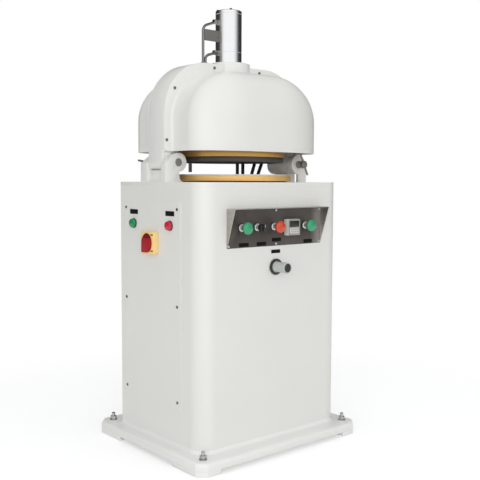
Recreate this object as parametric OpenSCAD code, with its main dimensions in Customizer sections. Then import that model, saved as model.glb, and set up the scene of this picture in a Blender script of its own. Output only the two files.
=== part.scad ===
// Divider rounder: a bakery machine that presses, divides and rounds a disc of dough.
// Millimetres, +Z up, front at -Y. The origin is on the floor under the press axis.

/* [Base] */
// Width of the base casting
base_w = 714; // [660:1:800]
// Depth of the base casting
base_d = 616; // [580:1:700]
// Height of the base's outer rim above the floor
base_rim_h = 43; // [34:1:60]
// Height of the corner feet under the rim
foot_h = 14; // [6:1:20]
// Length of a corner foot across the machine
foot_len = 80; // [60:1:120]
// Length of a corner foot front to back
foot_run = 150; // [80:1:180]
// Bevel of the base's corners
base_bevel = 28; // [10:1:40]
// Rise of the sloping collar round the cabinet's foot
base_rise = 12; // [8:1:40]
// Slope along the top of the base's rim
rim_slope = 10; // [4:1:14]
// Distance of the levelling bolts from the base's side edges
bolt_edge_x = 41; // [30:1:44]
// Distance of the levelling bolts from the base's front and rear edges
bolt_edge_y = 43; // [30:1:46]
// Radius of a levelling bolt
bolt_r = 6; // [4:0.5:8]

/* [Cabinet] */
// Width of the cabinet
cab_w = 622; // [600:1:640]
// Depth of the cabinet
cab_d = 460; // [450:1:480]
// Distance of the front face from the press axis
cab_front = 248; // [240:1:252]
// Height of the cabinet's top face
cab_top = 900; // [880:1:950]
// Wall of the cabinet
cab_wall = 4; // [2:0.5:8]
// Radius of the two front corners
corner_r = 58; // [30:1:80]
// Thickness of the top deck
deck_t = 14; // [10:1:20]

/* [Yoke] */
// Distance of each pin from the press axis
pin_x = 258; // [255:1:262]
// Height of the pins above the deck
pin_h = 64; // [58:1:70]
// Radius of the hinge pin and the lock pin
pin_r = 13.5; // [10:0.5:15]
// Half of the yoke's outer width
yoke_half_w = 306; // [300:1:310]
// Depth of the yoke front to back
yoke_d = 88; // [80:1:90]
// Width of the yoke's legs and crown
yoke_t = 60; // [50:1:60]
// Outer radius of the yoke's shoulders
yoke_r = 175; // [150:1:190]
// Height of the yoke's crown above the deck
yoke_h = 397; // [390:1:420]

/* [Covers] */
// Height of the covers' lower edge above the deck
cover_gap = 100; // [99:1:104]
// Sheet of the covers
cover_t = 3; // [2:0.5:4]
// Width of the screwed flange outside each cover's bulge
flange_w = 32; // [28:1:40]
// Thickness of the screwed flange
flange_t = 4; // [3:0.5:6]
// Bulge of the front cover
front_bulge = 178; // [165:1:190]
// Bulge of the rear cover
rear_bulge = 190; // [188:1:210]
// Length of a bulge's rounded corners front to back
bulge_corner_r = 100; // [90:1:120]
// Length of a bulge's rounded corners across the machine
bulge_side_r = 190; // [170:1:200]
// Rise of a bulge's rounded top
bulge_rise = 160; // [140:1:170]

/* [Press] */
// Outer radius of the press cylinder's tube
tube_r = 45.5; // [42:0.5:50]
// Bore radius of the press cylinder
tube_bore_r = 40; // [36:0.5:41]
// Length of the press cylinder's tube
tube_len = 131; // [120:1:160]
// Radius of the piston rod
rod_r = 18; // [14:0.5:22]
// Outer radius of the press ring
ring_r = 195; // [190:1:198]
// Inner radius of the press ring
ring_bore_r = 182.5; // [178:0.5:184]
// Height of the press ring
ring_h = 25; // [20:1:30]
// Height of the black mould ring under it
mould_h = 17.5; // [14:0.5:20]
// Stroke of the dividing knives in the press
knife_stroke = 18; // [10:0.5:18]
// Stroke of the pressing pads in the press
pad_stroke = 15; // [8:0.5:15]

/* [Table] */
// Outer radius of the rounding table's ring
table_r = 212; // [205:0.5:214]
// Height of the rounding table
table_h = 16; // [14:0.5:18]
// Radius of the loose rounding plate
plate_r = 200; // [196:0.5:203]
// Thickness of the loose rounding plate
plate_t = 5; // [3:0.5:6]
// Throw of the eccentric that swings the table
throw = 8; // [4:0.5:9]

/* [Controls] */
// Half of the control hood's width
hood_half_w = 210; // [205:1:220]
// Height of the control hood
hood_h = 126; // [120:1:140]
// Depth of the hood's roof
hood_depth = 41; // [30:1:48]
// Radius of the mushroom buttons
button_r = 20; // [16:0.5:21]
// Travel of the mushroom buttons
button_travel = 5; // [3:0.5:6]
// Radius of the rounding adjuster's knob
knob_r = 19.5; // [15:0.5:24]
// Width and height of the main switch's plate
switch_w = 74; // [68:1:80]
// Radius of the pilot lamps
lamp_r = 16.5; // [11:0.5:18]

/* [Hidden] */
$fn = 64;

// One overrun serves every cut
over = 1;
// Running clearance of pins and shafts in their bores
run_fit = 0.06;
// Free clearance between neighbours that move
free = 0.3;

// Base
base_top = base_rim_h + base_rise;
plinth_lip = 10;
slab_t = 1;
nut_h = 11;
nut_r = 11;
washer_h = 3;
washer_r = 13;
bolt_proud = 12;
bolt_foot = 10;
bolt_seat = base_rim_h + washer_h;
bolt_dx = base_w - 2 * bolt_edge_x;
bolt_dy = base_d - 2 * bolt_edge_y;

// Cabinet
cab_rear = cab_d - cab_front;
deck_under = cab_top - deck_t;
panel_t = 2;
panel_lap = 26;
panel_front_margin = 105;
panel_rear_margin = 22;
panel_bottom = 165;
panel_top_margin = 62;
panel_y0 = -cab_front + panel_front_margin;
panel_y1 = cab_rear - panel_rear_margin;
panel_z1 = cab_top - panel_top_margin;
rear_margin = 40;
slot_count = 6;
slot_h = 8;
slot_w = 180;
slot_pitch = 24;
slot_top_drop = 120;
screw_r = 5;
screw_h = 2.4;
screw_inset = 17;
screw_end_in = 25;
gland_r = 12;
gland_bore_r = 6;
gland_len = 24;
gland_skirt_r = 16;
gland_skirt_len = 8;
gland_side = 71;
gland_x = cab_w / 2 - rear_margin - gland_side;
gland_z = 230;

// Lugs on the deck
pin_z = cab_top + pin_h;
eye_r = 31;
hub_r = 34;
left_front_y0 = -60;
left_front_y1 = -34;
yoke_rear_gap = 1.3;
left_rear_y0 = yoke_d / 2 + yoke_rear_gap;
rear_lug_w = 38.7;
left_rear_y1 = left_rear_y0 + rear_lug_w;
hub_y0 = -90;
hub_y1 = -60;
lug_out = cab_w / 2;
lug_neck = 2;
shoulder_drop = 2;
shoulder_in = 26;
shoulder_rise = 18;
flare_r = 20;
hub_post_out = 39;
hub_post_t = 12;
saddle_in = 6;
saddle_out = 34;
saddle_y0 = -36;
saddle_y1 = 30;
crank_hole_r = 60;

// Hinge pin and lock pin
bar_r = 3.5;
hinge_tail = 28;
hinge_bar_back = 17;
hinge_bar_half = 50;
lock_end = -123;
lock_back = 1;
lock_nose = hub_y1 - lock_back;
lock_bar_in = 4.5;
lock_bar_y = lock_end + lock_bar_in;
lock_bar_half = 42;
lock_bar_lean = 26;

// Yoke
yoke_top = cab_top + yoke_h;
yoke_y = yoke_d / 2;
shoulder_x = yoke_half_w - yoke_r;
shoulder_z = yoke_top - yoke_r;
barrel_r = 34;
toe_r = 30;
bush_t = 5;
left_barrel_y0 = left_front_y1 + free;
hub_gap = 0.5;
right_barrel_y0 = hub_y1 + hub_gap;
barrel_y1 = yoke_y;
boss_r = 74;
boss_proud = 3;
boss_top = yoke_top + boss_proud;
guide_x = 70;
guide_r = 10;
guide_bush_r = 15;
guide_roof = 6;
guide_bush_top = yoke_top - guide_roof;

// Covers
cover_z0 = cab_top + cover_gap;
bulge_half_w = yoke_half_w - flange_w;
bulge_mid_x = bulge_half_w - bulge_side_r;
crown_z = yoke_top - flange_w - bulge_rise;
cover_facets = 40;
head_screw_r = 5;
head_screw_h = 3;
head_screw_inset = 9;
head_screw_lean = 31.5;

// Press cylinder
seat_r = 60;
seat_t = 8;
low_cap_h = 39;
top_cap_h = 12;
cyl_z0 = boss_top;
cap_z0 = cyl_z0 + seat_t;
tube_z0 = cap_z0 + low_cap_h;
tube_z1 = tube_z0 + tube_len;
cap_screw_r = 5;
cap_screw_h = 5;
cap_screw_pcd = 36;
port_r = 9;
port_len = 22;
pipe_r = 4.5;
port_high_drop = 30;
port_high = tube_z1 - port_high_drop;
port_low_rise = 36;
port_low = cap_z0 + port_low_rise;
pipe_out_high = 112;
pipe_out_low = 102;
pipe_drop_high = 20;
pipe_drop_low = 14;
pipe_sock_r = 8;
pipe_sock_h = 9;
clip_t = 4;
clip_low = 34;
clip_z0 = tube_z0 + clip_low;
clip_high = 72;
clip_z1 = tube_z0 + clip_high;

// Press head
head_plate_t = 16;
crosshead_h = 200;
crosshead_z = cab_top + crosshead_h;
crosshead_top = crosshead_z + head_plate_t;
plate_half = 165;
plate_corner_r = 199;
piston_drop = 48;
rod_top = tube_z1 - piston_drop;
piston_h = 20;
ring_lift = 85;
ring_z0 = cab_top + ring_lift;
ring_z1 = ring_z0 + ring_h;
mould_z0 = ring_z0 - mould_h;
mould_step = 1;
post_r = 5;
post_at = (ring_r + ring_bore_r) / 2;
post_fit = 0.4;
guide_short = 8;
guide_top = yoke_top - guide_short;
ram_r = 24;
ram_h = 34;
ram_roof = 6;
ram_at = 70;
ram_turn = 45;
ram_rod_r = 8;
ram_rod_up = 24;

// Knives and pads: thirty cells in three rings
knife_clear = 1;
knife_r = ring_bore_r - knife_clear;
cell_counts = [4, 10, 16];
cell_total = 30;
half_share = 0.5;
knife_t = 2;
knife_gap = 0.6;
knife_up = 0.5;
knife_z0 = mould_z0 + knife_stroke + knife_up;
knife_plate_h = 130;
knife_plate_z = cab_top + knife_plate_h;
carrier_t = 8;
pad_up = 2;
pad_z0 = knife_z0 + pad_up;
pad_t = 12;
pad_spare = 3;
pad_plate_z = knife_plate_z + carrier_t + pad_stroke + pad_spare;
pad_rod_r = 4;
pad_rod_fit = 0.4;
band_r1 = knife_r * sqrt(cell_counts[0] / cell_total);
band_r2 = knife_r * sqrt((cell_counts[0] + cell_counts[1]) / cell_total);
band_edges = [0, band_r1, band_r2, knife_r];

// Rounding table and its drive
table_lift = 5;
table_z0 = cab_top + table_lift;
table_z1 = table_z0 + table_h;
ring_drop = 1;
table_rim = 7.5;
table_plate_r = table_r - table_rim;
plate_lift = 0.2;
throw_angle = -40;
throw_x = throw * cos(throw_angle);
throw_y = throw * sin(throw_angle);
shaft_r = 20;
shaft_drop = 192;
shaft_z0 = deck_under - shaft_drop;
crank_r = 44;
crank_t = 12;
crank_z0 = deck_under + free;
crank_pin_r = 15;
blind = 4;
housing_r = 55;
housing_flange_r = 95;
housing_flange_t = 10;
housing_len = 126;
bearing_r = 40;
bearing_h = 22;
bearing_end = 8;
pulley_h = 28;
pulley_up = 6;
pulley_z0 = shaft_z0 + pulley_up;
pulley_big_r = 95;
pulley_small_r = 36;
pulley_hub_z = pulley_z0 + pulley_h;
groove_depth = 10;
groove_half = 7;
belt_half = 6;
belt_t = 8;
belt_gap = 0.4;
motor_x = 175;
motor_y = 70;
motor_r = 66;
motor_gap = 14;
motor_z0 = pulley_hub_z + motor_gap;
motor_shaft_r = 12;
guide_crank_x = 130;
guide_crank_y = -110;
crank_stub_r = 9;
crank_web_r = 21;
crank_web_gap = 0.4;
crank_web_t = 3.8;
crank_stub_down = 16;
crank_stub_up = 9;

// Hydraulic unit in the cabinet
tank_w = 300;
tank_d = 200;
tank_h = 180;
tank_wall = 3;
filler_r = 18;
filler_side = 20;
filler_back = 70;
tank_gap = 47;
tank_x = -cab_w / 2 + cab_wall + tank_gap + tank_w / 2;
filler_x = tank_x + filler_side;
tank_y = -20;
pump_r = 62;
pump_h = 190;
pump_side = 60;
pump_x = tank_x - pump_side;
valve_w = 80;
valve_d = 60;
valve_h = 70;
valve_side = 80;
valve_x = tank_x + valve_side;

// Hoses from the deck to the head: foot, knee and top of each
hose_r = 6.5;
hose_stub = 8;
bend_swell = 0.4;
fitting_r = 9.5;
fitting_h = 16;
knee_h = 88;
knee_z = cab_top + knee_h;
manifold_h = 160;
manifold_z = cab_top + manifold_h;
manifold_t = 24;
manifold_len = 122;
manifold_w = 24;
manifold_lean = 40;
manifold_clear = 41;
manifold_side = 62;
manifold_d = ring_r + manifold_clear;
manifold_x = bulge_half_w - manifold_side;
manifold_y = (manifold_d - manifold_x * sin(manifold_lean)) / cos(manifold_lean);
hose_foot_gap = 29.5;
hose_foot_r = table_r + hose_foot_gap;
hose_turns = [42.3, 37.3, 29.3, 23.2];
hose_place_shares = [-0.38, -0.21, 0.2, 0.43];
arm_step = 3;
arm_in = 74;
arm_out = 38;
arm_x0 = yoke_half_w - arm_in;
arm_x1 = yoke_half_w - arm_out;
arm_y1 = (manifold_d - (arm_x0 + arm_x1) / 2 * sin(manifold_lean)) / cos(manifold_lean);

// Home sensor in the rear cover
sensor_r = 6.5;
sensor_x = -2;
sensor_y = 222;
sensor_low = 36;
sensor_z0 = cab_top + sensor_low;
sensor_high = 124;
sensor_z1 = cab_top + sensor_high;
sensor_leaf = 12;
sensor_leaf_h = 112;
sensor_leaf_z = cab_top + sensor_leaf_h;
sensor_leaf_t = 6;

// Control hood and controls
hood_drop = 83;
hood_z1 = cab_top - hood_drop;
hood_z0 = hood_z1 - hood_h;
hood_t = 1.5;
hood_y = -cab_front - hood_t;
hood_screw_in = 7;
hood_screw_r = 4;
control_drop = 62;
control_z = hood_z1 - control_drop;
start_left_x = -151;
start_right_x = 132;
selector_x = -85;
stop_x = -11;
collar_r = 15;
collar_len = 11;
stem_r = 10;
stem_bore_r = stem_r + free;
head_len = 14;
head_stand = 26;
head_front = hood_y - collar_len - button_travel - head_stand;
selector_r = 15;
selector_grip_w = 9;
selector_grip_len = 14;
block_w = 32;
block_h = 42;
block_len = 46;
window_margin = 22;
timer_w = 54;
timer_h = 54;
timer_len = 22;
timer_x = 63.5;
timer_drop = 66;
timer_z = hood_z1 - timer_drop;
timer_face_in = 6;
timer_face_t = 1;
timer_face_gap = 3;
label_w = 40;
label_h = 12;
label_t = 1;
label_foot = 9;
label_step = 20;
label_low = hood_z0 + label_foot;
label_mid = hood_z0 + label_step;
front_labels = [[-140, label_low], [-65, label_low], [2, label_mid], [148, label_low]];
knob_drop = 70;
knob_z = hood_z0 - knob_drop;
knob_label_drop = 19;
knob_label_z = hood_z0 - knob_label_drop;
knob_skirt_r = 27;
knob_skirt_t = 6;
knob_reach = 56.5;
knob_end = cab_front + knob_reach;
knob_shaft_r = 6;
knob_shaft_in = 30;

// Left side: lamps and main switch
side_x = -cab_w / 2 - panel_t;
lamp_drop = 140;
lamp_z = cab_top - lamp_drop;
lamp_green_y = 124;
lamp_red_y = -87;
lamp_len = 14;
lamp_stem_r = 11;
lamp_stem_len = 32;
side_label_drop = 101;
side_label_z = cab_top - side_label_drop;
switch_y = 15;
switch_drop = 200;
switch_z = cab_top - switch_drop;
switch_plate_t = 3;
switch_knob_r = 33;
switch_knob_t = 23;
switch_stem_r = 8;
switch_block = 52;
switch_block_len = 60;

// Colours
paint = [0.87, 0.86, 0.83];
gold = [0.80, 0.60, 0.24];
steel = [0.62, 0.61, 0.58];
dark_steel = [0.36, 0.34, 0.33];
black = [0.09, 0.09, 0.09];
chrome = [0.75, 0.75, 0.74];
green = [0.16, 0.62, 0.42];
red = [0.80, 0.22, 0.16];
yellow = [0.95, 0.82, 0.45];
bronze = [0.66, 0.48, 0.25];
cast_grey = [0.45, 0.46, 0.46];
nylon = [0.92, 0.91, 0.88];

// A rod along Y from y0 to y1
module rod_y(x, z, r, y0, y1) {
    translate([x, y0, z]) rotate([-90, 0, 0]) cylinder(h = y1 - y0, r = r);
}

// A rod along X from x0 to x1
module rod_x(y, z, r, x0, x1) {
    translate([x0, y, z]) rotate([0, 90, 0]) cylinder(h = x1 - x0, r = r);
}

// A rod along Z from z0 to z1
module rod_z(x, y, r, z0, z1) {
    translate([x, y, z0]) cylinder(h = z1 - z0, r = r);
}

// A straight round rod between two points
module rod_between(a, b, r) {
    d = b - a;
    len = norm(d);
    turn = atan2(d[1], d[0]);
    lean = acos(d[2] / len);
    translate(a) rotate([0, lean, turn]) cylinder(h = len, r = r);
}

// A block between two corners
module block(a, b) {
    translate(a) cube(b - a);
}

// A box standing on its place, centred in plan
module box_up(w, d, h) {
    translate([-w / 2, -d / 2, 0]) cube([w, d, h]);
}

// An outline in X and Z, drawn out along Y from y0 to y1
module along_y(y0, y1) {
    translate([0, y1, 0]) rotate([90, 0, 0]) linear_extrude(height = y1 - y0) children();
}

// The four corners of a rectangle in plan
module at_corners(dx, dy) {
    for (x = [-dx / 2, dx / 2], y = [-dy / 2, dy / 2]) translate([x, y, 0]) children();
}

// A round ring about Z
module tube_z(r, bore, z0, z1) {
    difference() {
        rod_z(0, 0, r, z0, z1);
        rod_z(0, 0, bore, z0 - over, z1 + over);
    }
}

// Plan of the base: a rectangle with bevelled corners
module base_outline(inset = 0) {
    x = base_w / 2 - inset;
    y = base_d / 2 - inset;
    c = base_bevel;
    polygon([[-x + c, -y], [x - c, -y], [x, -y + c], [x, y - c],
             [x - c, y], [-x + c, y], [-x, y - c], [-x, -y + c]]);
}

// Plan of the cabinet: round at the two front corners
module cab_outline(inset = 0) {
    r = corner_r - inset;
    w = cab_w - 2 * inset;
    y0 = -cab_front + inset;
    y1 = cab_rear - inset;
    translate([-w / 2, y0 + r]) square([w, y1 - y0 - r]);
    translate([-w / 2 + r, y0]) square([w - 2 * r, y1 - y0]);
    for (s = [-1, 1]) translate([s * (w / 2 - r), y0 + r]) circle(r);
}

module base_casting() {
    rim_h = base_rim_h - foot_h;
    color(paint) difference() {
        union() {
            hull() {
                translate([0, 0, foot_h]) linear_extrude(height = rim_h - rim_slope) base_outline();
                translate([0, 0, foot_h]) linear_extrude(height = rim_h) base_outline(rim_slope);
            }
            difference() {
                hull() {
                    translate([0, 0, base_rim_h - over]) linear_extrude(height = over)
                        cab_outline(-plinth_lip);
                    translate([0, 0, base_top - slab_t]) linear_extrude(height = slab_t) cab_outline();
                }
                translate([0, 0, base_rim_h]) linear_extrude(height = base_top) cab_outline(cab_wall);
            }
            intersection() {
                linear_extrude(height = foot_h + over) base_outline();
                at_corners(base_w, base_d)
                    translate([-foot_len, -foot_run, 0]) cube([2 * foot_len, 2 * foot_run, foot_h + over]);
            }
        }
        at_corners(bolt_dx, bolt_dy) {
            translate([0, 0, -over]) cylinder(h = base_top + over, r = bolt_r + run_fit);
            translate([0, 0, base_rim_h]) cylinder(h = base_top, r = washer_r + free);
        }
    }
}

module levelling_bolts() {
    color(steel) at_corners(bolt_dx, bolt_dy) {
        translate([0, 0, bolt_foot]) cylinder(h = bolt_seat + nut_h + bolt_proud - bolt_foot, r = bolt_r);
        translate([0, 0, base_rim_h]) cylinder(h = washer_h, r = washer_r);
        translate([0, 0, bolt_seat]) cylinder(h = nut_h, r = nut_r, $fn = 6);
    }
}

module body_shell() {
    z0 = base_top;
    color(paint) difference() {
        translate([0, 0, z0]) linear_extrude(height = deck_under - z0) cab_outline();
        translate([0, 0, z0 - over]) linear_extrude(height = deck_under - z0 + 2 * over)
            cab_outline(cab_wall);
        block([-cab_w / 2 - over, panel_y0 + panel_lap, panel_bottom + panel_lap],
              [-cab_w / 2 + cab_wall + over, panel_y1 - panel_lap, panel_z1 - panel_lap]);
        block([-cab_w / 2 + rear_margin + panel_lap, cab_rear - cab_wall - over, panel_bottom + panel_lap],
              [cab_w / 2 - rear_margin - panel_lap, cab_rear + over, panel_z1 - panel_lap]);
        block([-hood_half_w + window_margin, -cab_front - over, hood_z0 + window_margin],
              [hood_half_w - window_margin, -cab_front + cab_wall + over, hood_z1 - window_margin]);
        rod_y(0, knob_z, knob_shaft_r + free, -cab_front - over, -cab_front + cab_wall + over);
    }
}

// Side view of a left lug: an eye round the pin on a post with a sloping shoulder
module lug_profile() {
    translate([-pin_x, pin_z]) circle(eye_r);
    polygon([[-lug_out, deck_under + deck_t], [-pin_x + lug_neck, cab_top], [-pin_x + lug_neck, pin_z],
             [-lug_out + shoulder_in, pin_z + shoulder_rise], [-lug_out, pin_z - shoulder_drop]]);
    difference() {
        translate([-pin_x, cab_top]) square([lug_neck + flare_r, flare_r]);
        translate([-pin_x + lug_neck + flare_r, cab_top + flare_r]) circle(flare_r);
    }
}

module top_deck() {
    color(paint) difference() {
        union() {
            translate([0, 0, deck_under]) linear_extrude(height = deck_t) cab_outline();
            along_y(left_front_y0, left_front_y1) lug_profile();
            along_y(left_rear_y0, left_rear_y1) lug_profile();
            rod_y(pin_x, pin_z, hub_r, hub_y0, hub_y1);
            block([pin_x, hub_y0, cab_top - over], [pin_x + hub_post_out, hub_y0 + hub_post_t, pin_z]);
            block([pin_x - saddle_in, saddle_y0, cab_top - over], [pin_x + saddle_out, saddle_y1, pin_z]);
        }
        rod_y(-pin_x, pin_z, pin_r, left_front_y0 - over, left_rear_y1 + over);
        rod_y(pin_x, pin_z, pin_r + run_fit, hub_y0 - over, hub_y1 + over);
        along_y(saddle_y0 - over, saddle_y1 + over) {
            translate([pin_x, pin_z]) circle(barrel_r + free);
            translate([yoke_half_w - toe_r, pin_z]) circle(toe_r + free);
            translate([pin_x, pin_z - toe_r - free]) square([yoke_half_w - toe_r - pin_x, 2 * toe_r]);
        }
        rod_z(0, 0, crank_hole_r, deck_under - over, cab_top + over);
        for (s = [-1, 1])
            translate([s * guide_crank_x, guide_crank_y, 0])
                rod_z(0, 0, crank_stub_r + run_fit, deck_under - over, cab_top + over);
    }
}

module left_side_panel() {
    color(paint) difference() {
        block([side_x, panel_y0, panel_bottom], [-cab_w / 2, panel_y1, panel_z1]);
        for (y = [lamp_green_y, lamp_red_y])
            rod_x(y, lamp_z, lamp_stem_r + free, side_x - over, -cab_w / 2 + over);
        rod_x(switch_y, switch_z, switch_stem_r + free, side_x - over, -cab_w / 2 + over);
    }
}

module rear_panel() {
    color(paint) difference() {
        block([-cab_w / 2 + rear_margin, cab_rear, panel_bottom],
              [cab_w / 2 - rear_margin, cab_rear + panel_t, panel_z1]);
        for (k = [0 : slot_count - 1]) {
            z = panel_z1 - slot_top_drop - k * slot_pitch;
            block([-slot_w / 2, cab_rear - over, z], [slot_w / 2, cab_rear + panel_t + over, z + slot_h]);
        }
        rod_y(gland_x, gland_z, gland_r, cab_rear - over, cab_rear + panel_t + over);
    }
}

module panel_screws() {
    mid_z = (panel_bottom + panel_z1) / 2;
    rear_half = cab_w / 2 - rear_margin - screw_inset;
    color(chrome) {
        for (y = [panel_y0 + screw_inset, panel_y1 - screw_inset],
             z = [panel_bottom + screw_end_in, mid_z, panel_z1 - screw_end_in]) {
            rod_x(y, z, screw_r, side_x - screw_h, side_x);
        }
        for (x = [-rear_half, rear_half],
             z = [panel_bottom + screw_end_in, mid_z, panel_z1 - screw_end_in]) {
            rod_y(x, z, screw_r, cab_rear + panel_t, cab_rear + panel_t + screw_h);
        }
        for (x = [-hood_half_w + hood_screw_in, 0, hood_half_w - hood_screw_in],
             z = [hood_z0 + hood_screw_in, hood_z1 - hood_screw_in - hood_t]) {
            rod_y(x, z, hood_screw_r, hood_y - screw_h, hood_y);
        }
    }
}

module control_hood() {
    // A cheek in Y and Z, deep at the roof and nothing at the foot
    cheek = [[0, 0], [0, hood_h], [-hood_depth, hood_h]];
    color(steel) difference() {
        union() {
            block([-hood_half_w, hood_y, hood_z0], [hood_half_w, -cab_front, hood_z1]);
            block([-hood_half_w, hood_y - hood_depth, hood_z1 - hood_t], [hood_half_w, -cab_front, hood_z1]);
            for (x = [-hood_half_w, hood_half_w - hood_t])
                translate([x, hood_y, hood_z0]) rotate([90, 0, 90])
                    linear_extrude(height = hood_t) polygon(cheek);
        }
        for (x = [start_left_x, start_right_x, selector_x, stop_x])
            rod_y(x, control_z, stem_bore_r, hood_y - over, -cab_front + over);
    }
}

module button_collars() {
    color(chrome) for (x = [start_left_x, start_right_x, selector_x, stop_x]) {
        difference() {
            rod_y(x, control_z, collar_r, hood_y - collar_len, hood_y);
            rod_y(x, control_z, stem_bore_r, hood_y - collar_len - over, hood_y + over);
        }
    }
}

module contact_blocks() {
    z = control_z;
    y0 = -cab_front;
    color(black) {
        for (x = [start_left_x, start_right_x, selector_x, stop_x]) difference() {
            block([x - block_w / 2, y0, z - block_h / 2],
                  [x + block_w / 2, y0 + block_len, z + block_h / 2]);
            rod_y(x, z, stem_bore_r, y0 - over, y0 + block_len / 2);
        }
        block([timer_x - block_w / 2, y0, timer_z - block_h / 2],
              [timer_x + block_w / 2, y0 + 2 * block_len, timer_z + block_h / 2]);
        difference() {
            block([-cab_w / 2, switch_y - switch_block / 2, switch_z - switch_block / 2],
                  [-cab_w / 2 + switch_block_len, switch_y + switch_block / 2, switch_z + switch_block / 2]);
            rod_x(switch_y, switch_z, switch_stem_r + free,
                  -cab_w / 2 - over, -cab_w / 2 + switch_block_len / 2);
        }
    }
}

module timer() {
    y1 = hood_y - timer_len;
    half = timer_w / 2 - timer_face_in;
    top = timer_h / 2 - timer_face_in;
    color(steel) block([timer_x - timer_w / 2, y1, timer_z - timer_h / 2],
                       [timer_x + timer_w / 2, hood_y, timer_z + timer_h / 2]);
    color(black) block([timer_x - half, y1 - timer_face_t, timer_z + timer_face_gap / 2],
                       [timer_x + half, y1, timer_z + top]);
    color(nylon) block([timer_x - half, y1 - timer_face_t, timer_z - top],
                       [timer_x + half, y1, timer_z - timer_face_gap / 2]);
}

module label_plates() {
    color(black) {
        for (p = front_labels)
            block([p[0] - label_w / 2, hood_y - label_t, p[1] - label_h / 2],
                  [p[0] + label_w / 2, hood_y, p[1] + label_h / 2]);
        block([-label_w / 2, -cab_front - label_t, knob_label_z - label_h / 2],
              [label_w / 2, -cab_front, knob_label_z + label_h / 2]);
        for (y = [lamp_green_y, lamp_red_y])
            block([side_x - label_t, y - label_w / 2, side_label_z - label_h / 2],
                  [side_x, y + label_w / 2, side_label_z + label_h / 2]);
    }
}

// A pilot lamp on the left panel: a coloured cap on a stem
module lamp(y) {
    rod_x(y, lamp_z, lamp_r, side_x - lamp_len, side_x);
    rod_x(y, lamp_z, lamp_stem_r, side_x, side_x + lamp_stem_len);
}

module lamp_green() {
    color(green) lamp(lamp_green_y);
}

module lamp_red() {
    color(red) lamp(lamp_red_y);
}

module switch_plate() {
    color(yellow) difference() {
        block([side_x - switch_plate_t, switch_y - switch_w / 2, switch_z - switch_w / 2],
              [side_x, switch_y + switch_w / 2, switch_z + switch_w / 2]);
        rod_x(switch_y, switch_z, switch_stem_r + free, side_x - switch_plate_t - over, side_x + over);
    }
}

module cable_gland() {
    y0 = cab_rear - cab_wall;
    y1 = cab_rear + panel_t;
    color(black) difference() {
        union() {
            rod_y(gland_x, gland_z, gland_r, y0, y1 + gland_len);
            rod_y(gland_x, gland_z, gland_skirt_r, y1, y1 + gland_skirt_len);
        }
        rod_y(gland_x, gland_z, gland_bore_r, y0 - over, y1 + gland_len + over);
    }
}

// Plan places of a hose's foot beside the table and of its top in the manifold
function hose_foot(k) = hose_foot_r * [cos(hose_turns[k]), sin(hose_turns[k])];
function hose_top(k) = [manifold_x, manifold_y]
    + hose_place_shares[k] * manifold_len * [cos(manifold_lean), -sin(manifold_lean)];

module hose_fittings() {
    color(chrome) for (k = [0 : len(hose_turns) - 1])
        rod_z(hose_foot(k)[0], hose_foot(k)[1], fitting_r, cab_top, cab_top + fitting_h);
}

module hydraulic_hoses() {
    color(black) for (k = [0 : len(hose_turns) - 1]) {
        foot = [hose_foot(k)[0], hose_foot(k)[1], cab_top + fitting_h + hose_stub];
        knee = [hose_top(k)[0], hose_top(k)[1], knee_z];
        rod_z(foot[0], foot[1], hose_r, cab_top + fitting_h, foot[2]);
        translate(foot) sphere(hose_r + bend_swell);
        rod_between(foot, knee, hose_r);
        translate(knee) sphere(hose_r + bend_swell);
        rod_z(knee[0], knee[1], hose_r, knee_z, manifold_z);
    }
}

module hinge_pin() {
    bar_y = left_rear_y1 + hinge_bar_back;
    color(dark_steel) {
        rod_y(-pin_x, pin_z, pin_r, left_front_y0, left_rear_y1 + hinge_tail);
        rod_x(bar_y, pin_z, bar_r, -pin_x - hinge_bar_half, -pin_x + hinge_bar_half);
    }
}

module spindle_housing() {
    z1 = deck_under;
    color(cast_grey) difference() {
        union() {
            rod_z(0, 0, housing_r, z1 - housing_len, z1);
            rod_z(0, 0, housing_flange_r, z1 - housing_flange_t, z1);
        }
        rod_z(0, 0, bearing_r, z1 - housing_len - over, z1 + over);
    }
}

module spindle_bearings() {
    z1 = deck_under;
    low = z1 - housing_len + bearing_end;
    color(steel) {
        tube_z(bearing_r, shaft_r + run_fit, low, low + bearing_h);
        tube_z(bearing_r, shaft_r + run_fit, z1 - bearing_end - bearing_h, z1 - bearing_end);
    }
}

// The belt's path round both pulleys, widened by a given amount
module belt_loop(grow) {
    hull() {
        circle(pulley_big_r - groove_depth + grow);
        translate([motor_x, motor_y]) circle(pulley_small_r - groove_depth + grow);
    }
}

module drive_belt() {
    mid = pulley_z0 + pulley_h / 2;
    color(black) translate([0, 0, mid - belt_half]) linear_extrude(height = 2 * belt_half) difference() {
        belt_loop(belt_gap + belt_t);
        belt_loop(belt_gap);
    }
}

module rounding_motor() {
    color(cast_grey) difference() {
        rod_z(motor_x, motor_y, motor_r, motor_z0, deck_under);
        rod_z(motor_x, motor_y, motor_shaft_r + run_fit, motor_z0 - over, (motor_z0 + deck_under) / 2);
    }
}

module oil_tank() {
    z0 = base_rim_h;
    color(steel) {
        difference() {
            translate([tank_x, tank_y, z0]) box_up(tank_w, tank_d, tank_h);
            translate([tank_x, tank_y, z0 + tank_wall])
                box_up(tank_w - 2 * tank_wall, tank_d - 2 * tank_wall, tank_h - 2 * tank_wall);
            translate([filler_x, tank_y + filler_back, z0 + tank_h - tank_wall - over])
                cylinder(h = tank_wall + 2 * over, r = filler_r);
        }
        block([valve_x - valve_w / 2, tank_y - valve_d / 2, z0 + tank_h],
              [valve_x + valve_w / 2, tank_y + valve_d / 2, z0 + tank_h + valve_h]);
    }
}

module pump_motor() {
    z0 = base_rim_h + tank_h;
    color(cast_grey) rod_z(pump_x, tank_y, pump_r, z0, z0 + pump_h);
}

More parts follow.
